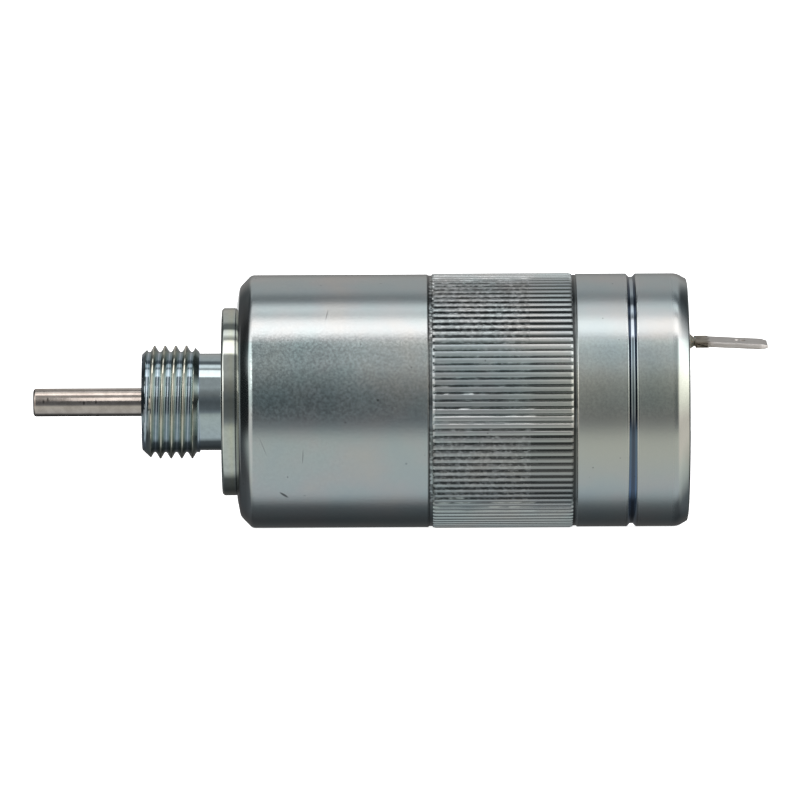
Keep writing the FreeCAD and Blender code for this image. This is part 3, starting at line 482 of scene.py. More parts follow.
# A belt above the middle, some 10 mm tall, holds painted light and shade: darker and blue near the
# front and lighter towards the rear
belt_foot = add_node(tree, "ShaderNodeMapRange", {"interpolation_type": "SMOOTHSTEP"}, {
    "Value": parts.outputs["Z"], "From Min": -0.0030, "From Max": 0.0})
belt_top = add_node(tree, "ShaderNodeMapRange", {"interpolation_type": "SMOOTHSTEP"}, {
    "Value": parts.outputs["Z"], "From Min": 0.0089, "From Max": 0.0079})
belt = add_node(tree, "ShaderNodeMath", {"operation": "MULTIPLY"},
                {0: belt_foot.outputs[0], 1: belt_top.outputs[0]})
belt_painted_light = add_node(tree, "ShaderNodeValToRGB", {}, {0: share_along.outputs[0]}, [
    (0.085, (0.80, 0.90, 0.90, 1)), (0.16, (0.86, 0.98, 0.98, 1)), (0.22, (0.91, 0.98, 0.98, 1)),
    (0.285, (1.08, 1.16, 1.15, 1)), (0.35, (1.10, 1.15, 1.13, 1)), (0.443, (1.18, 1.20, 1.16, 1)),
    (0.448, (0.82, 0.86, 0.88, 1)), (0.60, (0.92, 0.95, 0.96, 1)), (0.72, (1.12, 1.14, 1.12, 1)),
    (0.78, (1.22, 1.25, 1.22, 1)), (0.83, (1.12, 1.18, 1.18, 1)), (0.91, (1.0, 1.10, 1.10, 1)),
    (0.96, (1.15, 1.22, 1.18, 1))])
# The belt's painted light and shade multiply the case's colour
belt_painted_colour = add_node(tree, "ShaderNodeMix", {"data_type": "RGBA", "blend_type": "MULTIPLY"}, {
    0: belt.outputs[0], 6: groove_painted_colour.outputs[2], 7: belt_painted_light.outputs[0]})
# The knurl's vees are painted dark as shade, its crests were left rough by the roll, and the
# front edge has painted shade as well, back to its chamfer
in_knurl = add_node(tree, "ShaderNodeMath", {"operation": "COMPARE"},
                    {0: parts.outputs["X"], 1: knurl_middle, 2: knurl_half_length})
# In the less deep part the vees' painted shade is broken in dashes some 0.6 mm long and 0.4 mm
# wide, which paints a sparkle along the teeth
drawn_out = add_node(tree, "ShaderNodeMapping", {}, {
    "Vector": place, "Scale": (1600, 2400, 2400)})
dashes = add_node(tree, "ShaderNodeTexNoise", {}, {
    "Vector": drawn_out.outputs[0], "Scale": 1.0, "Detail": 1.0})
shade_broken = add_node(tree, "ShaderNodeMapRange", {}, {
    "Value": dashes.outputs["Fac"], "From Min": 0.46, "From Max": 0.62, "To Max": -0.75})
less_deep = add_node(tree, "ShaderNodeMath", {"operation": "LESS_THAN"},
                     {0: parts.outputs["X"], 1: less_deep_end / 1000})
vee_shade_left = add_node(tree, "ShaderNodeMath", {"operation": "MULTIPLY_ADD"},
                     {0: shade_broken.outputs[0], 1: less_deep.outputs[0], 2: 1.0})


def level_stops(levels):
    """Ramp stops from (position, level) pairs, with the level as red, green and blue."""
    return [(position, (level, level, level, 1)) for position, level in levels]


# How much painted shade the vees keep by height, from the knurl's foot at 0 to its top at 1:
# none at the foot, nearly all below the middle, hardly any in the brightest rows, more than half
# above them and all near the top
up_share = add_node(tree, "ShaderNodeMapRange", {}, {
    "Value": parts.outputs["Z"], "From Min": -0.018, "From Max": 0.018})
vee_shade_by_height = add_node(tree, "ShaderNodeValToRGB", {}, {0: up_share.outputs[0]}, level_stops([
    (0.088, 0), (0.114, 0.95), (0.385, 0.90), (0.405, 0.05), (0.460, 0.05), (0.475, 0.70),
    (0.53, 0.50), (0.70, 0.50), (0.76, 1)]))
vee_shade_kept = add_node(tree, "ShaderNodeMath", {"operation": "MULTIPLY"},
                     {0: vee_shade_left.outputs[0], 1: vee_shade_by_height.outputs[0]})
in_vees = add_node(tree, "ShaderNodeMath", {"operation": "MULTIPLY"},
                   {0: vee_shade_kept.outputs[0], 1: in_knurl.outputs[0]})
# In two bands the painted shade reaches further up the flanks, 0.08 mm below and 0.045 mm above
climbs = add_node(tree, "ShaderNodeValToRGB", {}, {0: up_share.outputs[0]}, level_stops([
    (0.100, 0), (0.120, 1), (0.33, 1), (0.405, 0), (0.694, 0), (0.778, 0.56), (0.953, 0.56),
    (0.978, 0)]))
vee_shade_reach = add_node(tree, "ShaderNodeMath", {"operation": "MULTIPLY_ADD"},
                      {0: climbs.outputs[0], 1: -0.00008, 2: from_axis.outputs["Value"]})
# Distance along X from the nearer gap's front edge
from_middle = add_node(tree, "ShaderNodeMath", {"operation": "SUBTRACT"},
                       {0: parts.outputs["X"], 1: gap_middle})
off_middle = add_node(tree, "ShaderNodeMath", {"operation": "ABSOLUTE"},
                      {0: from_middle.outputs[0]})
from_gap = add_node(tree, "ShaderNodeMath", {"operation": "SUBTRACT"},
                    {0: off_middle.outputs[0], 1: gap_reach})
off_gap = add_node(tree, "ShaderNodeMath", {"operation": "ABSOLUTE"}, {0: from_gap.outputs[0]})
# High up, the less deep part's crests get dashes of painted shade as well
high_up = add_node(tree, "ShaderNodeValToRGB", {}, {0: up_share.outputs[0]}, level_stops([
    (0.694, 0), (0.778, 1), (0.953, 1), (0.978, 0)]))
high_dashes = add_node(tree, "ShaderNodeMath", {"operation": "MULTIPLY"},
                       {0: high_up.outputs[0], 1: less_deep.outputs[0]})
crest_shade_dashes = add_node(tree, "ShaderNodeMath", {"operation": "MULTIPLY"},
                        {0: high_dashes.outputs[0], 1: in_knurl.outputs[0]})
# Each painted shade: what it is measured by, where it starts to thin out and is gone, how much
# it darkens, and the share of it that is left
painted_shades = ((vee_shade_reach.outputs[0], 0.01781, 0.01793, -0.72, in_vees.outputs[0]),
         (dashes.outputs["Fac"], 0.40, 0.58, -0.34, crest_shade_dashes.outputs[0]),
         # Painted shade in a thin line at each gap's front edge, where the skin steps down
         (off_gap.outputs[0], 0.00012, 0.00022, -0.60, 1.0),
         # Painted shade over the front chamfer, and deeper on the rim by the collar, which shades
         # it
         (parts.outputs["X"], 0.0034, 0.0042, -0.30, 1.0),
         (parts.outputs["X"], 0.0025, 0.0027, -0.50, 1.0))
for measure, thick, gone, darkens, left in painted_shades:
    shade_share = add_node(tree, "ShaderNodeMapRange", {}, {
        "Value": measure, "From Min": thick, "From Max": gone, "To Min": darkens, "To Max": 0.0})
    kept = add_node(tree, "ShaderNodeMath", {"operation": "MULTIPLY_ADD"},
                    {0: shade_share.outputs[0], 1: left, 2: 1.0})
    shade = add_node(tree, "ShaderNodeMath", {"operation": "MULTIPLY"},
                     {0: shade.outputs[0], 1: kept.outputs[0]})
colour = add_node(tree, "ShaderNodeMix", {"data_type": "RGBA", "blend_type": "MULTIPLY"}, {
    0: 1.0, 6: belt_painted_colour.outputs[2], 7: shade.outputs[0]})
# The roll left the crests rough, and drawing left fine lines along X, 0.3 mm apart
crest_rough = add_node(tree, "ShaderNodeMapRange", {}, {
    "Value": from_axis.outputs["Value"], "From Min": 0.01784, "From Max": 0.01794,
    "To Max": 0.22})
crest_only = add_node(tree, "ShaderNodeMath", {"operation": "MULTIPLY_ADD"},
                      {0: crest_rough.outputs[0], 1: in_knurl.outputs[0], 2: finish.outputs["Red"]})
rough = add_node(tree, "ShaderNodeMath", {"operation": "MULTIPLY_ADD"},
                 {0: clouds.outputs["Fac"], 1: 0.04, 2: crest_only.outputs[0]})
drawn = add_node(tree, "ShaderNodeMapping", {}, {"Vector": place, "Scale": (60, 3200, 3200)})
lines = add_node(tree, "ShaderNodeTexNoise", {}, {
    "Vector": drawn.outputs[0], "Scale": 1.0, "Detail": 2.0})
relief = add_node(tree, "ShaderNodeMath", {"operation": "MULTIPLY_ADD"},
                  {0: lines.outputs["Fac"], 1: 0.25, 2: grain.outputs["Fac"]})
bump = add_node(tree, "ShaderNodeBump", {}, {
    "Strength": finish.outputs["Green"], "Distance": 0.00004, "Height": relief.outputs[0]})
put(tree, shader, Base_Color=colour.outputs[2], Metallic=1.0, Roughness=rough.outputs[0],
    Normal=bump.outputs[0])
case.data.materials.append(zinc_on_case)


# The nose is one turned steel piece: an M16 x 1.5 thread with a lead-in, an undercut neck, the
# collar that seats on the engine, and the spigot that the case's front wall is clamped to.
thread_radius, thread_pitch = 8.0, 1.5
thread_root = 7.08
half_crest_flat, root_softness = 0.09, 0.09
thread_front, thread_rear = -11.3, -3.15
crest_at_top = -9.506
lead_in_start, lead_in_slope = 6.75, 0.95
run_out_end = 7.05
neck_radius, collar_radius = 6.85, 13.25
collar_rear, spigot_rear = 2.1, 8.1
spigot_radius, chamber_radius = 9.0, 7.3
pin_bore, seal_recess = 3.5, 4.5
chamber_front, recess_rear = 1.0, -9.0
nose_columns, rows_per_pitch = 192, 32

# Rows follow the helix, so that its crest and root stay clean, and stop at both ends
row_count = int(math.ceil((thread_rear - thread_front) / thread_pitch + 1)) * rows_per_pitch + 1
turn = np.linspace(0, math.tau, nose_columns + 1)[None, :]
row_number = np.arange(row_count)[:, None]
row_start = thread_front - thread_pitch + row_number * thread_pitch / rows_per_pitch
x = np.clip(row_start + thread_pitch * turn / math.tau, thread_front, thread_rear)


def thread_surface(x, turn):
    """Radius of a right-hand 60 degree thread: the crest line's distance along X, less half the
    crest flat, drops the radius by the tangent of 60 degrees, down to the rounded root."""
    crest = crest_at_top + thread_pitch * (turn - math.pi / 2) / math.tau
    share = (x - crest) / thread_pitch + 0.5
    away = np.abs(share - np.floor(share) - 0.5) * thread_pitch
    flank = (thread_radius
             - np.maximum(away - half_crest_flat, 0) * math.tan(math.radians(60)))
    softened = np.log1p(np.exp((flank - thread_root) / root_softness)) * root_softness
    return thread_root + softened


lead_in = lead_in_start + (x - thread_front) * lead_in_slope
run_out = run_out_end + (thread_rear - x)
thread_turned = np.minimum(thread_surface(x, turn), np.minimum(lead_in, run_out))
thread_grid = swept(x, thread_turned, turn)

# From the thread's end back over the neck, the collar and the spigot, then forward through the
# spigot's chamber and the pin's bore to the seal's recess
nose_outline = rounded([
    (thread_rear, run_out_end, 0), (thread_rear, neck_radius, 0), (0.0, neck_radius, 0.12),
    (0.0, 12.95, 0.1), (0.3, collar_radius, 0.12), (collar_rear, collar_radius, 0.24),
    (collar_rear, spigot_radius, 0), (spigot_rear, spigot_radius, 0.2),
    (spigot_rear, chamber_radius, 0), (chamber_front, chamber_radius, 0),
    (chamber_front, pin_bore, 0), (recess_rear, pin_bore, 0), (recess_rear, seal_recess, 0),
    (thread_front, seal_recess, 0.12), (thread_front, lead_in_start, 0)])
# The outline starts where the thread ends, so that the two patches meet there
start = np.argmin(np.hypot(nose_outline[:, 0] - thread_rear, nose_outline[:, 1] - run_out_end))
nose_outline = np.roll(nose_outline, -start, axis=0)
round_turn = np.linspace(0, math.tau, nose_columns, endpoint=False)
nose_grid = swept(nose_outline[:, :1], nose_outline[:, 1:], round_turn[None, :])
nose = make_piece("threaded_nose_turned", [
    (thread_grid, False, False), (nose_grid, False, True)], crease=32)
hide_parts("threaded_nose")
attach(nose, "housing")

# Zinc plate on a turned surface: the passivation gathers straw yellow on crests and on the
# collar's rim, stays blue in the grooves and on the neck, and the tool left rings 0.1 mm apart.
zinc_on_nose, tree, shader, place = new_material("zinc_plated_turned_steel")
parts = add_node(tree, "ShaderNodeSeparateXYZ", sockets={0: place})
along = add_node(tree, "ShaderNodeMapRange", {}, {
    "Value": parts.outputs["X"], "From Min": -0.0120, "From Max": 0.0030})
zones = add_node(tree, "ShaderNodeValToRGB", {}, {0: along.outputs[0]}, [
    (0.00, linear("#C6CCC9")), (0.585, linear("#C4CCCA")), (0.60, linear("#C6D1D3")),
    (0.795, linear("#C6D1D3")), (0.805, linear("#D2D7D2")), (0.86, linear("#D6D8CF")),
    (0.90, linear("#D8D9C8")), (0.935, linear("#CCD0CC"))])
flat_place = add_node(tree, "ShaderNodeVectorMath", {"operation": "MULTIPLY"},
                      {0: place, 1: (0.0, 1.0, 1.0)})
from_axis = add_node(tree, "ShaderNodeVectorMath", {"operation": "LENGTH"},
                     {0: flat_place.outputs[0]})
# The thread's film by height, from its root at 0 to its crest at 1
up_flank = add_node(tree, "ShaderNodeMapRange", {}, {
    "Value": from_axis.outputs["Value"], "From Min": 0.0070, "From Max": 0.0080})
thread_film = add_node(tree, "ShaderNodeValToRGB", {}, {0: up_flank.outputs[0]}, [
    (0.08, linear("#C4D0DA")), (0.30, linear("#AEBAB9")), (0.74, linear("#B2BAB3")),
    (0.93, linear("#DAD7C8"))])
threaded = add_node(tree, "ShaderNodeMath", {"operation": "LESS_THAN"},
                    {0: parts.outputs["X"], 1: -0.003})
golden = add_node(tree, "ShaderNodeMix", {"data_type": "RGBA"}, {
    0: threaded.outputs[0], 6: zones.outputs[0], 7: thread_film.outputs[0]})
spots = add_node(tree, "ShaderNodeTexNoise", {}, {
    "Vector": place, "Scale": 1500.0, "Detail": 3.0, "Roughness": 0.6})
spot_shade = add_node(tree, "ShaderNodeMapRange", {}, {
    "Value": spots.outputs["Fac"], "From Min": 0.33, "From Max": 0.6,
    "To Min": 0.90, "To Max": 1.0})
colour = add_node(tree, "ShaderNodeMix", {"data_type": "RGBA", "blend_type": "MULTIPLY"}, {
    0: 1.0, 6: golden.outputs[2], 7: spot_shade.outputs[0]})
rings = add_node(tree, "ShaderNodeMapping", {}, {"Vector": place, "Scale": (9000, 90, 90)})
tool_marks = add_node(tree, "ShaderNodeTexNoise", {}, {
    "Vector": rings.outputs[0], "Scale": 1.0, "Detail": 2.0})
bump = add_node(tree, "ShaderNodeBump", {}, {
    "Strength": 0.08, "Distance": 0.00002, "Height": tool_marks.outputs["Fac"]})
rough = add_node(tree, "ShaderNodeMapRange", {}, {
    "Value": spots.outputs["Fac"], "From Min": 0.3, "From Max": 0.7,
    "To Min": 0.045, "To Max": 0.07})
put(tree, shader, Base_Color=colour.outputs[2], Metallic=1.0, Roughness=rough.outputs[0],
    Normal=bump.outputs[0])
nose.data.materials.append(zinc_on_nose)


# The push pin is a 4 mm stainless rod, ground between centres, chamfered at its tip, grooved
# for its clip and headed inside the armature. It slides in the nose's bush.
pin_tip, pin_radius = -26.7, 2.0
clip_front, clip_rear, clip_groove_radius = 1.4, 2.0, 1.6
head_front, head_rear, head_radius = 18.0, 18.8, 2.5

pin_outline = rounded([
    (pin_tip, 0.0, 0), (pin_tip, 1.72, 0.08), (-26.42, pin_radius, 0.08),
    (clip_front, pin_radius, 0), (clip_front, clip_groove_radius, 0),
    (clip_rear, clip_groove_radius, 0), (clip_rear, pin_radius, 0), (head_front, pin_radius, 0),
    (head_front, head_radius, 0), (head_rear, head_radius, 0.1), (head_rear, 0.0, 0)])
pin_turn = np.linspace(0, math.tau, 128, endpoint=False)
pin = make_piece("push_pin_ground", [
    (swept(pin_outline[:, :1], pin_outline[:, 1:], pin_turn[None, :]), True, True)])
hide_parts("push_pin")
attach(pin, "plunger")

# Ground stainless steel: warm grey and mirror-like along X, with grinding rings 0.05 mm apart,
# drawn at 0.1 mm so that they show, and painted shade for two small dents halfway along and two
# near the tip.
stainless, tree, shader, place = new_material("ground_stainless_steel")
rings = add_node(tree, "ShaderNodeMapping", {}, {"Vector": place, "Scale": (10000, 120, 120)})
grinding = add_node(tree, "ShaderNodeTexNoise", {}, {
    "Vector": rings.outputs[0], "Scale": 1.0, "Detail": 3.0, "Roughness": 0.6})
stains = add_node(tree, "ShaderNodeTexNoise", {}, {"Vector": place, "Scale": 900.0, "Detail": 3.0})
tone = add_node(tree, "ShaderNodeValToRGB", {}, {0: stains.outputs["Fac"]}, [
    (0.35, linear("#C2B5AC")), (0.62, linear("#D4C7BE"))])
# Dark spots of painted shade stand in for the dents
dent_shades = ((-0.0195, -0.002, -0.0001), (-0.0178, -0.002, 0.00005), (-0.0246, -0.0019, 0.0004),
         (-0.0252, -0.0019, 0.0001))
shade = None
for dent in dent_shades:
    gap = add_node(tree, "ShaderNodeVectorMath", {"operation": "SUBTRACT"}, {0: place, 1: dent})
    tall = add_node(tree, "ShaderNodeVectorMath", {"operation": "MULTIPLY"},
                    {0: gap.outputs[0], 1: (1.6, 1.0, 0.8)})
    reach = add_node(tree, "ShaderNodeVectorMath", {"operation": "LENGTH"}, {0: tall.outputs[0]})
    mark = add_node(tree, "ShaderNodeMapRange", {}, {
        "Value": reach.outputs["Value"], "From Min": 0.00012, "From Max": 0.0003,
        "To Min": 0.35, "To Max": 1.0})
    shade = mark if shade is None else add_node(
        tree, "ShaderNodeMath", {"operation": "MULTIPLY"},
        {0: shade.outputs[0], 1: mark.outputs[0]})
colour = add_node(tree, "ShaderNodeMix", {"data_type": "RGBA", "blend_type": "MULTIPLY"}, {
    0: 1.0, 6: tone.outputs[0], 7: shade.outputs[0]})
rough = add_node(tree, "ShaderNodeMapRange", {}, {
    "Value": grinding.outputs["Fac"], "From Min": 0.3, "From Max": 0.7,
    "To Min": 0.12, "To Max": 0.19})
bump = add_node(tree, "ShaderNodeBump", {}, {
    "Strength": 0.2, "Distance": 0.00001, "Height": grinding.outputs["Fac"]})
put(tree, shader, Base_Color=colour.outputs[2], Metallic=1.0, Roughness=rough.outputs[0],
    Normal=bump.outputs[0])
pin.data.materials.append(stainless)


# The wiper seal is moulded nitrile rubber, pressed into the nose's front recess. Its thin lip
# keeps dirt off the pin.
seal_front, seal_rear = -11.0, -9.4
lip_radius, lip_root = 2.06, 3.1

seal_outline = rounded([
    (-10.5, lip_radius, 0.1), (-10.0, lip_radius, 0.1), (seal_rear, lip_root, 0),
    (seal_rear, seal_recess, 0), (seal_front, seal_recess, 0.15), (seal_front, lip_root, 0.2)])
seal_turn = np.linspace(0, math.tau, 96, endpoint=False)
seal = make_piece("rod_seal_moulded", [
    (swept(seal_outline[:, :1], seal_outline[:, 1:], seal_turn[None, :]), True, True)])
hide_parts("rod_seal")
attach(seal, "housing")

# Nitrile rubber: black, matt, with a dusty bloom in spots of about half a millimetre.
rubber, tree, shader, place = new_material("moulded_nitrile_rubber")
bloom = add_node(tree, "ShaderNodeTexNoise", {}, {"Vector": place, "Scale": 2000.0, "Detail": 2.0})
tone = add_node(tree, "ShaderNodeValToRGB", {}, {0: bloom.outputs["Fac"]}, [
    (0.35, linear("#161616")), (0.7, linear("#262524"))])
bump = add_node(tree, "ShaderNodeBump", {}, {
    "Strength": 0.3, "Distance": 0.00003, "Height": bloom.outputs["Fac"]})
put(tree, shader, Base_Color=tone.outputs[0], Roughness=0.6, Normal=bump.outputs[0])
seal.data.materials.append(rubber)


# The sealing resin is a filled epoxy, poured over the cover inside the rolled lip. It wets the
# terminal and the lip, so its skin climbs both and dips a little between them.
tab_turn = math.radians(8)
tab_centre = np.array([0.0, 8.16])
leg_half_width, strip_half_thickness = 1.3, 0.4
resin_level, skin_rings = 65.3, 28
# How far the skin climbs the terminal and the lip, and how far from each it falls away, in mm
tab_climb, tab_fall = 1.55, 1.0
lip_climb, lip_fall = 0.25, 0.5

# Points round the terminal's leg, in its own frame of across and up, along its four sides
share = np.linspace(0, 4, 128, endpoint=False)
side_number = share.astype(int)
way = share - side_number
across = np.select([side_number == 0, side_number == 1, side_number == 2],
                   [1 - 2 * way, -1 + 0 * way, -1 + 2 * way], 1.0)
up = np.select([side_number == 0, side_number == 1, side_number == 2],
               [1 + 0 * way, 1 - 2 * way, -1 + 0 * way], -1 + 2 * way)
leg_edge = np.stack([across * leg_half_width, up * strip_half_thickness], axis=-1)


def turned_with_tab(flat):
    """Across and up in the terminal's frame to Y and Z: turned about X with the terminal and
    moved up to its height."""
    across, up = flat[..., 0], flat[..., 1]
    y = across * math.cos(tab_turn) - up * math.sin(tab_turn)
    z = across * math.sin(tab_turn) + up * math.cos(tab_turn)
    return np.stack([y, z], axis=-1) + tab_centre


# The skin runs from the leg's edge out to the lip, along rays that fan out from the leg
inner = turned_with_tab(leg_edge)
ray = turned_with_tab(leg_edge * [1.0, 2.0]) - tab_centre
ray = ray / np.linalg.norm(ray, axis=1, keepdims=True)
along_ray = (tab_centre * ray).sum(axis=1)
to_rim = -along_ray + np.sqrt(along_ray ** 2 + lip_bore ** 2 - (tab_centre ** 2).sum())
outer = tab_centre + ray * to_rim[:, None]
share = (np.linspace(0, 1, skin_rings) ** 1.8)[:, None, None]
skin = inner[None] * (1 - share) + outer[None] * share
from_tab = np.linalg.norm(skin - inner[None], axis=2)
from_rim = lip_bore - np.linalg.norm(skin, axis=2)
# Height of the skin: each climb times e to the power of minus the distance over its fall, with
# a slight waver round the terminal and a faint ripple all over
waver = 1 + 0.08 * np.sin(np.linspace(0, math.tau * 3, inner.shape[0]))[None, :]
climb = (tab_climb * np.exp(-from_tab / tab_fall) * waver
         + lip_climb * np.exp(-from_rim / lip_fall))
ripple = 0.03 * np.sin(skin[..., 0] * 0.9 + 1.0) * np.cos(skin[..., 1] * 0.7)
top = np.concatenate([(resin_level + climb + ripple)[..., None], skin], axis=2)
# The flat underside needs only every ninth ring, from the lip back to the leg
bottom = np.concatenate([np.full(skin.shape[:2] + (1,), lip_front), skin], axis=2)[::-9]
resin_grid = np.concatenate([top, bottom])
resin = make_piece("sealing_resin_poured", [(resin_grid, True, True)], crease=40)
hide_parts("sealing_resin")
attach(resin, "housing")

# Filled epoxy: beige grey, a little see-through at thin edges, half glossy, with filler in spots
# of some 1.4 mm and tiny sunk bubbles.
epoxy, tree, shader, place = new_material("poured_filled_epoxy")
filler = add_node(tree, "ShaderNodeTexNoise", {}, {"Vector": place, "Scale": 700.0, "Detail": 4.0})
tone = add_node(tree, "ShaderNodeValToRGB", {}, {0: filler.outputs["Fac"]}, [
    (0.35, linear("#858073")), (0.65, linear("#A39E8F"))])
bubbles = add_node(tree, "ShaderNodeTexVoronoi", {}, {"Vector": place, "Scale": 600.0})
dimple = add_node(tree, "ShaderNodeMapRange", {}, {
    "Value": bubbles.outputs["Distance"], "From Min": 0.05, "From Max": 0.16})
bump = add_node(tree, "ShaderNodeBump", {}, {
    "Strength": 0.5, "Distance": 0.0001, "Height": dimple.outputs[0]})
put(tree, shader, Base_Color=tone.outputs[0], Roughness=0.4, Normal=bump.outputs[0],
    Subsurface_Weight=0.2, Subsurface_Scale=0.001)
resin.data.materials.append(epoxy)


# The blade terminal is stamped from 0.8 mm brass strip and tinned. Its leg is narrow where it
# leaves the resin, then the shank is wide, and the 6.3 mm blade sags a little. The foot is
# riveted inside the cover.
foot_front, cover_front, foot_length = 61.8, 62.6, 6.0
leg_start, leg_end, shank_half_width = 64.9, 66.75, 3.9
shoulder, tab_tip = 68.7, 77.05
# The blade starts inside the shank, and the leg, a hair thinner, ends inside foot and shank
blade_start, leg_overlap, leg_half_thickness = shoulder - 0.4, 0.5, 0.39
blade_half_width, blade_droop = 3.15, 0.42
hole_place, hole_radius = 73.05, 0.85
corner_cut = 1.1
coined_length, coined_by = 0.7, 0.18


def sagged(x):
    """How far the blade has dropped at x: nothing up to the shoulder, then in proportion."""
    return np.clip((x - shoulder) / (tab_tip - shoulder), 0, 1.2) * blade_droop


# The sheared edges are quarter rounds
edge_radius = 0.2
edge_turn = np.linspace(0, math.pi / 2, 5)


def strip_patch(corners, half_width):
    """An edge outline swept across the strip. Towards each side it ends in a quarter round: at a
    turn t that stands in by r(1 - sin t) and drops by r(1 - cos t)."""
    outline = rounded(corners)
    normal = np.roll(outline, -1, axis=0) - np.roll(outline, 1, axis=0)
    normal = (np.stack([-normal[:, 1], normal[:, 0]], axis=1)
              / np.linalg.norm(normal, axis=1, keepdims=True))
    side = half_width - edge_radius * (1 - np.sin(edge_turn))
    across = np.concatenate([-side[::-1], side])[::-1, None]
    drop = edge_radius * (1 - np.cos(edge_turn))
    drop = np.concatenate([drop[::-1], drop])[::-1, None, None]
    lengthways = outline[None] + normal[None] * drop
    across = np.broadcast_to(across, lengthways.shape[:2])
    yz = turned_with_tab(np.stack([across, lengthways[..., 1]], axis=-1))
    return np.concatenate([lengthways[..., :1], yz], axis=2)


foot_patch = strip_patch([
    (foot_front, -foot_length, 0.1), (cover_front, -foot_length, 0.1),
    (cover_front, -strip_half_thickness, 0.3), (leg_start, -strip_half_thickness, 0),
    (leg_start, strip_half_thickness, 0), (foot_front, strip_half_thickness, 0.8)],
    shank_half_width)
leg_patch = strip_patch([
    (leg_start - leg_overlap, -leg_half_thickness, 0),
    (leg_end + leg_overlap, -leg_half_thickness, 0),
    (leg_end + leg_overlap, leg_half_thickness, 0),
    (leg_start - leg_overlap, leg_half_thickness, 0)], leg_half_width)
shank_patch = strip_patch([
    (leg_end, -strip_half_thickness, 0.1), (shoulder, -strip_half_thickness, 0.1),
    (shoulder, strip_half_thickness, 0.1), (leg_end, strip_half_thickness, 0.1)],
    shank_half_width)

# The blade: rings that grow from the hole to the blade's edge. The reach from the hole's centre
# in each direction is the least distance to one of the edge lines along that direction.
edges = np.array([(-1.0, 0.0, hole_place - blade_start), (1.0, 0.0, tab_tip - hole_place),
                  (0.0, 1.0, blade_half_width), (0.0, -1.0, blade_half_width)])
slope = np.array([corner_cut / 2, corner_cut]) / math.hypot(corner_cut / 2, corner_cut)
corner = np.array([tab_tip - corner_cut - hole_place, blade_half_width])
cut = [(slope[0], slope[1] * way, slope @ corner) for way in (1, -1)]
edges = np.concatenate([edges, np.array(cut)])
tips = [(tab_tip - hole_place, blade_half_width - corner_cut / 2), (corner[0], corner[1]),
        (blade_start - hole_place, blade_half_width)]
tips = np.array(tips + [(a, -b) for a, b in tips])
turn = np.unique(np.concatenate([np.linspace(-math.pi, math.pi, 128, endpoint=False),
                                 np.arctan2(tips[:, 1], tips[:, 0])]))
ray = np.stack([np.cos(turn), np.sin(turn)], axis=1)
facing = edges[:, :2] @ ray.T
reach = np.min(np.where(facing > 1e-6, edges[:, 2:] / np.maximum(facing, 1e-6), 1e9), axis=0)
# Each ring: share of the way from hole to edge, inset from the edge in mm, and height share,
# which ends in the same quarter round as the shank's
round_rings = np.stack([np.ones(edge_turn.size), -edge_radius * (1 - np.sin(edge_turn)),
                        1 - edge_radius * (1 - np.cos(edge_turn)) / strip_half_thickness], axis=1)
flat_rings = [(0, 0.0, 0.75), (0, 0.04, 1.0), (0.25, 0, 1), (0.5, 0, 1), (0.75, 0, 1),
              (0.88, 0, 1)]
rings = np.concatenate([flat_rings, round_rings])
rings = np.concatenate([rings, rings[::-1] * [1, 1, -1]])
share, inset, level = rings[:, 0:1], rings[:, 1:2], rings[:, 2:3]
distance = hole_radius + (reach[None, :] - hole_radius) * share + inset
x = hole_place + distance * ray[None, :, 0]
across = distance * ray[None, :, 1]
# The tip is coined thinner over its last 0.7 mm
past_coin_line = np.clip((x - (tab_tip - coined_length)) / coined_length, 0, 1)
half_thickness = strip_half_thickness - coined_by * past_coin_line
up = level * half_thickness - sagged(x)
yz = turned_with_tab(np.stack([across, up], axis=-1))
blade_grid = np.concatenate([x[..., None], yz], axis=2)
terminal = make_piece("blade_terminal_stamped", [
    (foot_patch, False, True), (leg_patch, False, True), (shank_patch, False, True),
    (blade_grid, True, True)])
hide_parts("blade_terminal")
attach(terminal, "housing")

# Tinned brass: bright pale tin with streaks 3 mm long and 0.2 mm apart from rolling along X,
# browned by flux and resin in blotches of 1 mm round the shank.
tinned, tree, shader, place = new_material("tinned_brass_strip")
parts = add_node(tree, "ShaderNodeSeparateXYZ", sockets={0: place})
rolling = add_node(tree, "ShaderNodeMapping", {}, {"Vector": place, "Scale": (300, 6000, 6000)})
streaks = add_node(tree, "ShaderNodeTexNoise", {}, {
    "Vector": rolling.outputs[0], "Scale": 1.0, "Detail": 3.0})
blotches = add_node(tree, "ShaderNodeTexNoise", {}, {
    "Vector": place, "Scale": 900.0, "Detail": 4.0})
edge_place = add_node(tree, "ShaderNodeMath", {"operation": "MULTIPLY_ADD"},
                      {0: blotches.outputs["Fac"], 1: 0.0016, 2: parts.outputs["X"]})
browned = add_node(tree, "ShaderNodeMapRange", {"interpolation_type": "SMOOTHSTEP"}, {
    "Value": edge_place.outputs[0], "From Min": 0.0690, "From Max": 0.0699,
    "To Min": 1.0, "To Max": 0.0})
tin = add_node(tree, "ShaderNodeValToRGB", {}, {0: streaks.outputs["Fac"]}, [
    (0.35, linear("#D6D0CC")), (0.65, linear("#EEEAE7"))])
brown = add_node(tree, "ShaderNodeValToRGB", {}, {0: blotches.outputs["Fac"]}, [
    (0.35, linear("#8C857A")), (0.65, linear("#B8B0A2"))])
colour = add_node(tree, "ShaderNodeMix", {"data_type": "RGBA"}, {
    0: browned.outputs[0], 6: tin.outputs[0], 7: brown.outputs[0]})
face_rough = add_node(tree, "ShaderNodeMapRange", {}, {
    "Value": browned.outputs[0], "To Min": 0.36, "To Max": 0.5})
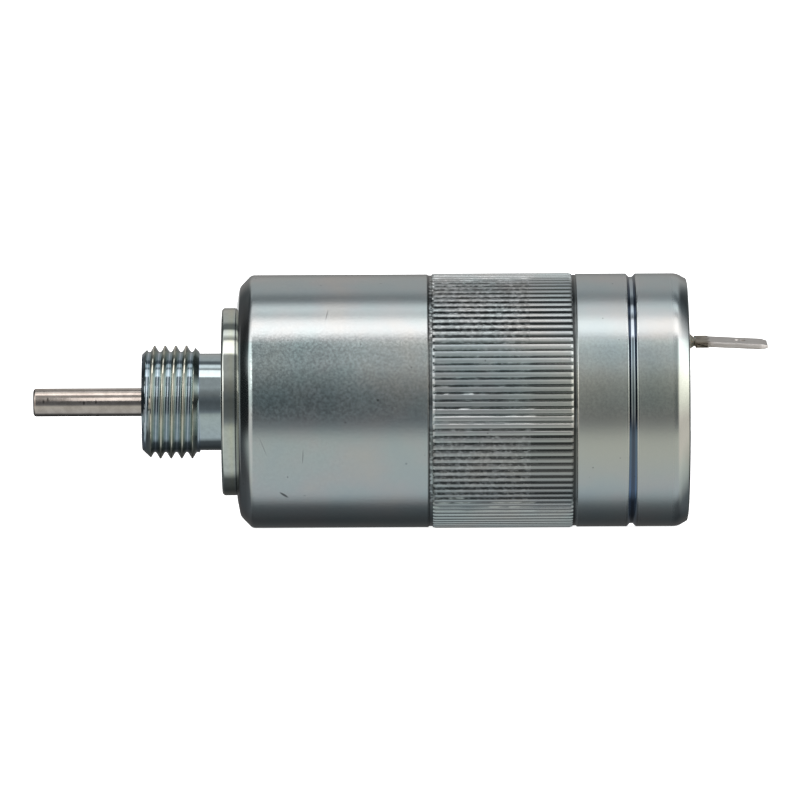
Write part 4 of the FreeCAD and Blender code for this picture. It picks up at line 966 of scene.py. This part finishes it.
# The sheared edges are rough: distance across the strip is Y cos t + Z sin t from its middle
turned_across = add_node(tree, "ShaderNodeVectorMath", {"operation": "DOT_PRODUCT"}, {
    0: place, 1: (0.0, math.cos(tab_turn), math.sin(tab_turn))})
from_middle = add_node(tree, "ShaderNodeMath", {"operation": "SUBTRACT"}, {
    0: turned_across.outputs["Value"], 1: float(tab_centre[1]) * math.sin(tab_turn) / 1000})
off_middle = add_node(tree, "ShaderNodeMath", {"operation": "ABSOLUTE"},
                      {0: from_middle.outputs[0]})
edge_rough = add_node(tree, "ShaderNodeMapRange", {}, {
    "Value": off_middle.outputs[0], "From Min": 0.0030, "From Max": 0.00312, "To Max": 0.4})
rough = add_node(tree, "ShaderNodeMath", {"operation": "ADD"},
                 {0: face_rough.outputs[0], 1: edge_rough.outputs[0]})
bump = add_node(tree, "ShaderNodeBump", {}, {
    "Strength": 0.25, "Distance": 0.00002, "Height": streaks.outputs["Fac"]})
put(tree, shader, Base_Color=colour.outputs[2], Metallic=1.0, Roughness=rough.outputs[0],
    Normal=bump.outputs[0])
terminal.data.materials.append(tinned)


# The return spring is coiled from 0.8 mm patented wire and sits between the armature and the
# rear pole. It shortens by the stroke when the plunger is pulled in.
spring_front, spring_rear = 18.0, 46.3
spring_mean_radius, wire_radius = 3.1, 0.4
spring_turns = 10.25

# A round wire carried along a helix of constant pitch
turn = np.linspace(0, spring_turns * math.tau, 300)
share = turn / turn[-1]
centre_x = spring_front + wire_radius + share * (spring_rear - spring_front - 2 * wire_radius)
round_wire = np.linspace(0, math.tau, 12, endpoint=False)[None, :]
wire_x = centre_x[:, None] + wire_radius * np.sin(round_wire)
wire_reach = spring_mean_radius + wire_radius * np.cos(round_wire)
spring_grid = swept(wire_x, wire_reach, turn[:, None] + math.pi / 2)
spring = make_piece("return_spring_coiled", [(spring_grid, False, True)], crease=50)
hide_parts("return_spring")
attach(spring, "housing")
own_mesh(spring)


# The parts sealed inside keep their solids. Each finish is a metal or a moulding of two close
# tones, with a grain of that many millimetres, as its surface was made.
def sealed_finish(name, dark, pale, grain, metallic, roughness, stretch=(1, 1, 1)):
    """A finish whose colour wanders between two tones with noise one grain wide, stretched
    along the directions that the surface was drawn, wound or turned in."""
    material, tree, shader, place = new_material(name)
    spread = add_node(tree, "ShaderNodeMapping", {}, {"Vector": place, "Scale": stretch})
    noise = add_node(tree, "ShaderNodeTexNoise", {}, {
        "Vector": spread.outputs[0], "Scale": 1000 / grain, "Detail": 3.0})
    tone = add_node(tree, "ShaderNodeValToRGB", {}, {0: noise.outputs["Fac"]}, [
        (0.35, linear(dark)), (0.65, linear(pale))])
    bump = add_node(tree, "ShaderNodeBump", {}, {
        "Strength": 0.3, "Distance": 0.00003, "Height": noise.outputs["Fac"]})
    put(tree, shader, Base_Color=tone.outputs[0], Metallic=metallic, Roughness=roughness,
        Normal=bump.outputs[0])
    return material


sealed_finishes = {
    "sintered_bronze": sealed_finish("oiled_sintered_bronze", "#7A5A34", "#A9814C", 0.15, 1.0, 0.5),
    "nitrile_rubber": rubber,
    "bright_steel": sealed_finish(
        "bright_turned_steel", "#9A9C9E", "#BDBFC1", 0.3, 1.0, 0.3, (8, 1, 1)),
    "spring_steel": sealed_finish("blued_spring_steel", "#5E6064", "#85888C", 0.3, 1.0, 0.35),
    "nylon": sealed_finish("moulded_nylon", "#D9D5C6", "#E8E5D8", 0.8, 0.0, 0.5),
    "soft_iron": sealed_finish(
        "annealed_soft_iron", "#77787A", "#98999B", 0.25, 1.0, 0.42, (6, 1, 1)),
    "brass": sealed_finish("drawn_brass", "#A98A4A", "#CDB06A", 0.3, 1.0, 0.28, (0.1, 4, 4)),
    "glass_filled_nylon": sealed_finish("glass_filled_nylon", "#20211F", "#33342F", 0.5, 0.0, 0.6),
    "enamelled_copper": sealed_finish(
        "enamelled_copper_wire", "#7A3A1C", "#B0623A", 0.3, 1.0, 0.3, (3, 0.1, 0.1)),
    "polyester_tape": sealed_finish("polyester_tape", "#C9A23A", "#DDB955", 1.5, 0.0, 0.35),
    "glass_sleeving": sealed_finish(
        "varnished_glass_sleeving", "#C9B98C", "#E3D7B0", 0.25, 0.0, 0.6),
    "vulcanised_fibre": sealed_finish("vulcanised_fibre", "#6E3A30", "#8A4A3C", 0.4, 0.0, 0.7),
    "phenolic": sealed_finish("moulded_phenolic", "#2A2320", "#3B322D", 0.4, 0.0, 0.4),
    "epoxy_resin": epoxy,
    "tinned_brass": tinned,
    "ground_stainless": stainless,
    "zinc_plated_case": zinc_on_case,
    "zinc_plated_nose": zinc_on_nose,
}
spring.data.materials.append(sealed_finishes["spring_steel"])
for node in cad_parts.values():
    for slot in node.material_slots:
        slot.material = sealed_finishes[slot.material.name.split(".")[0]]
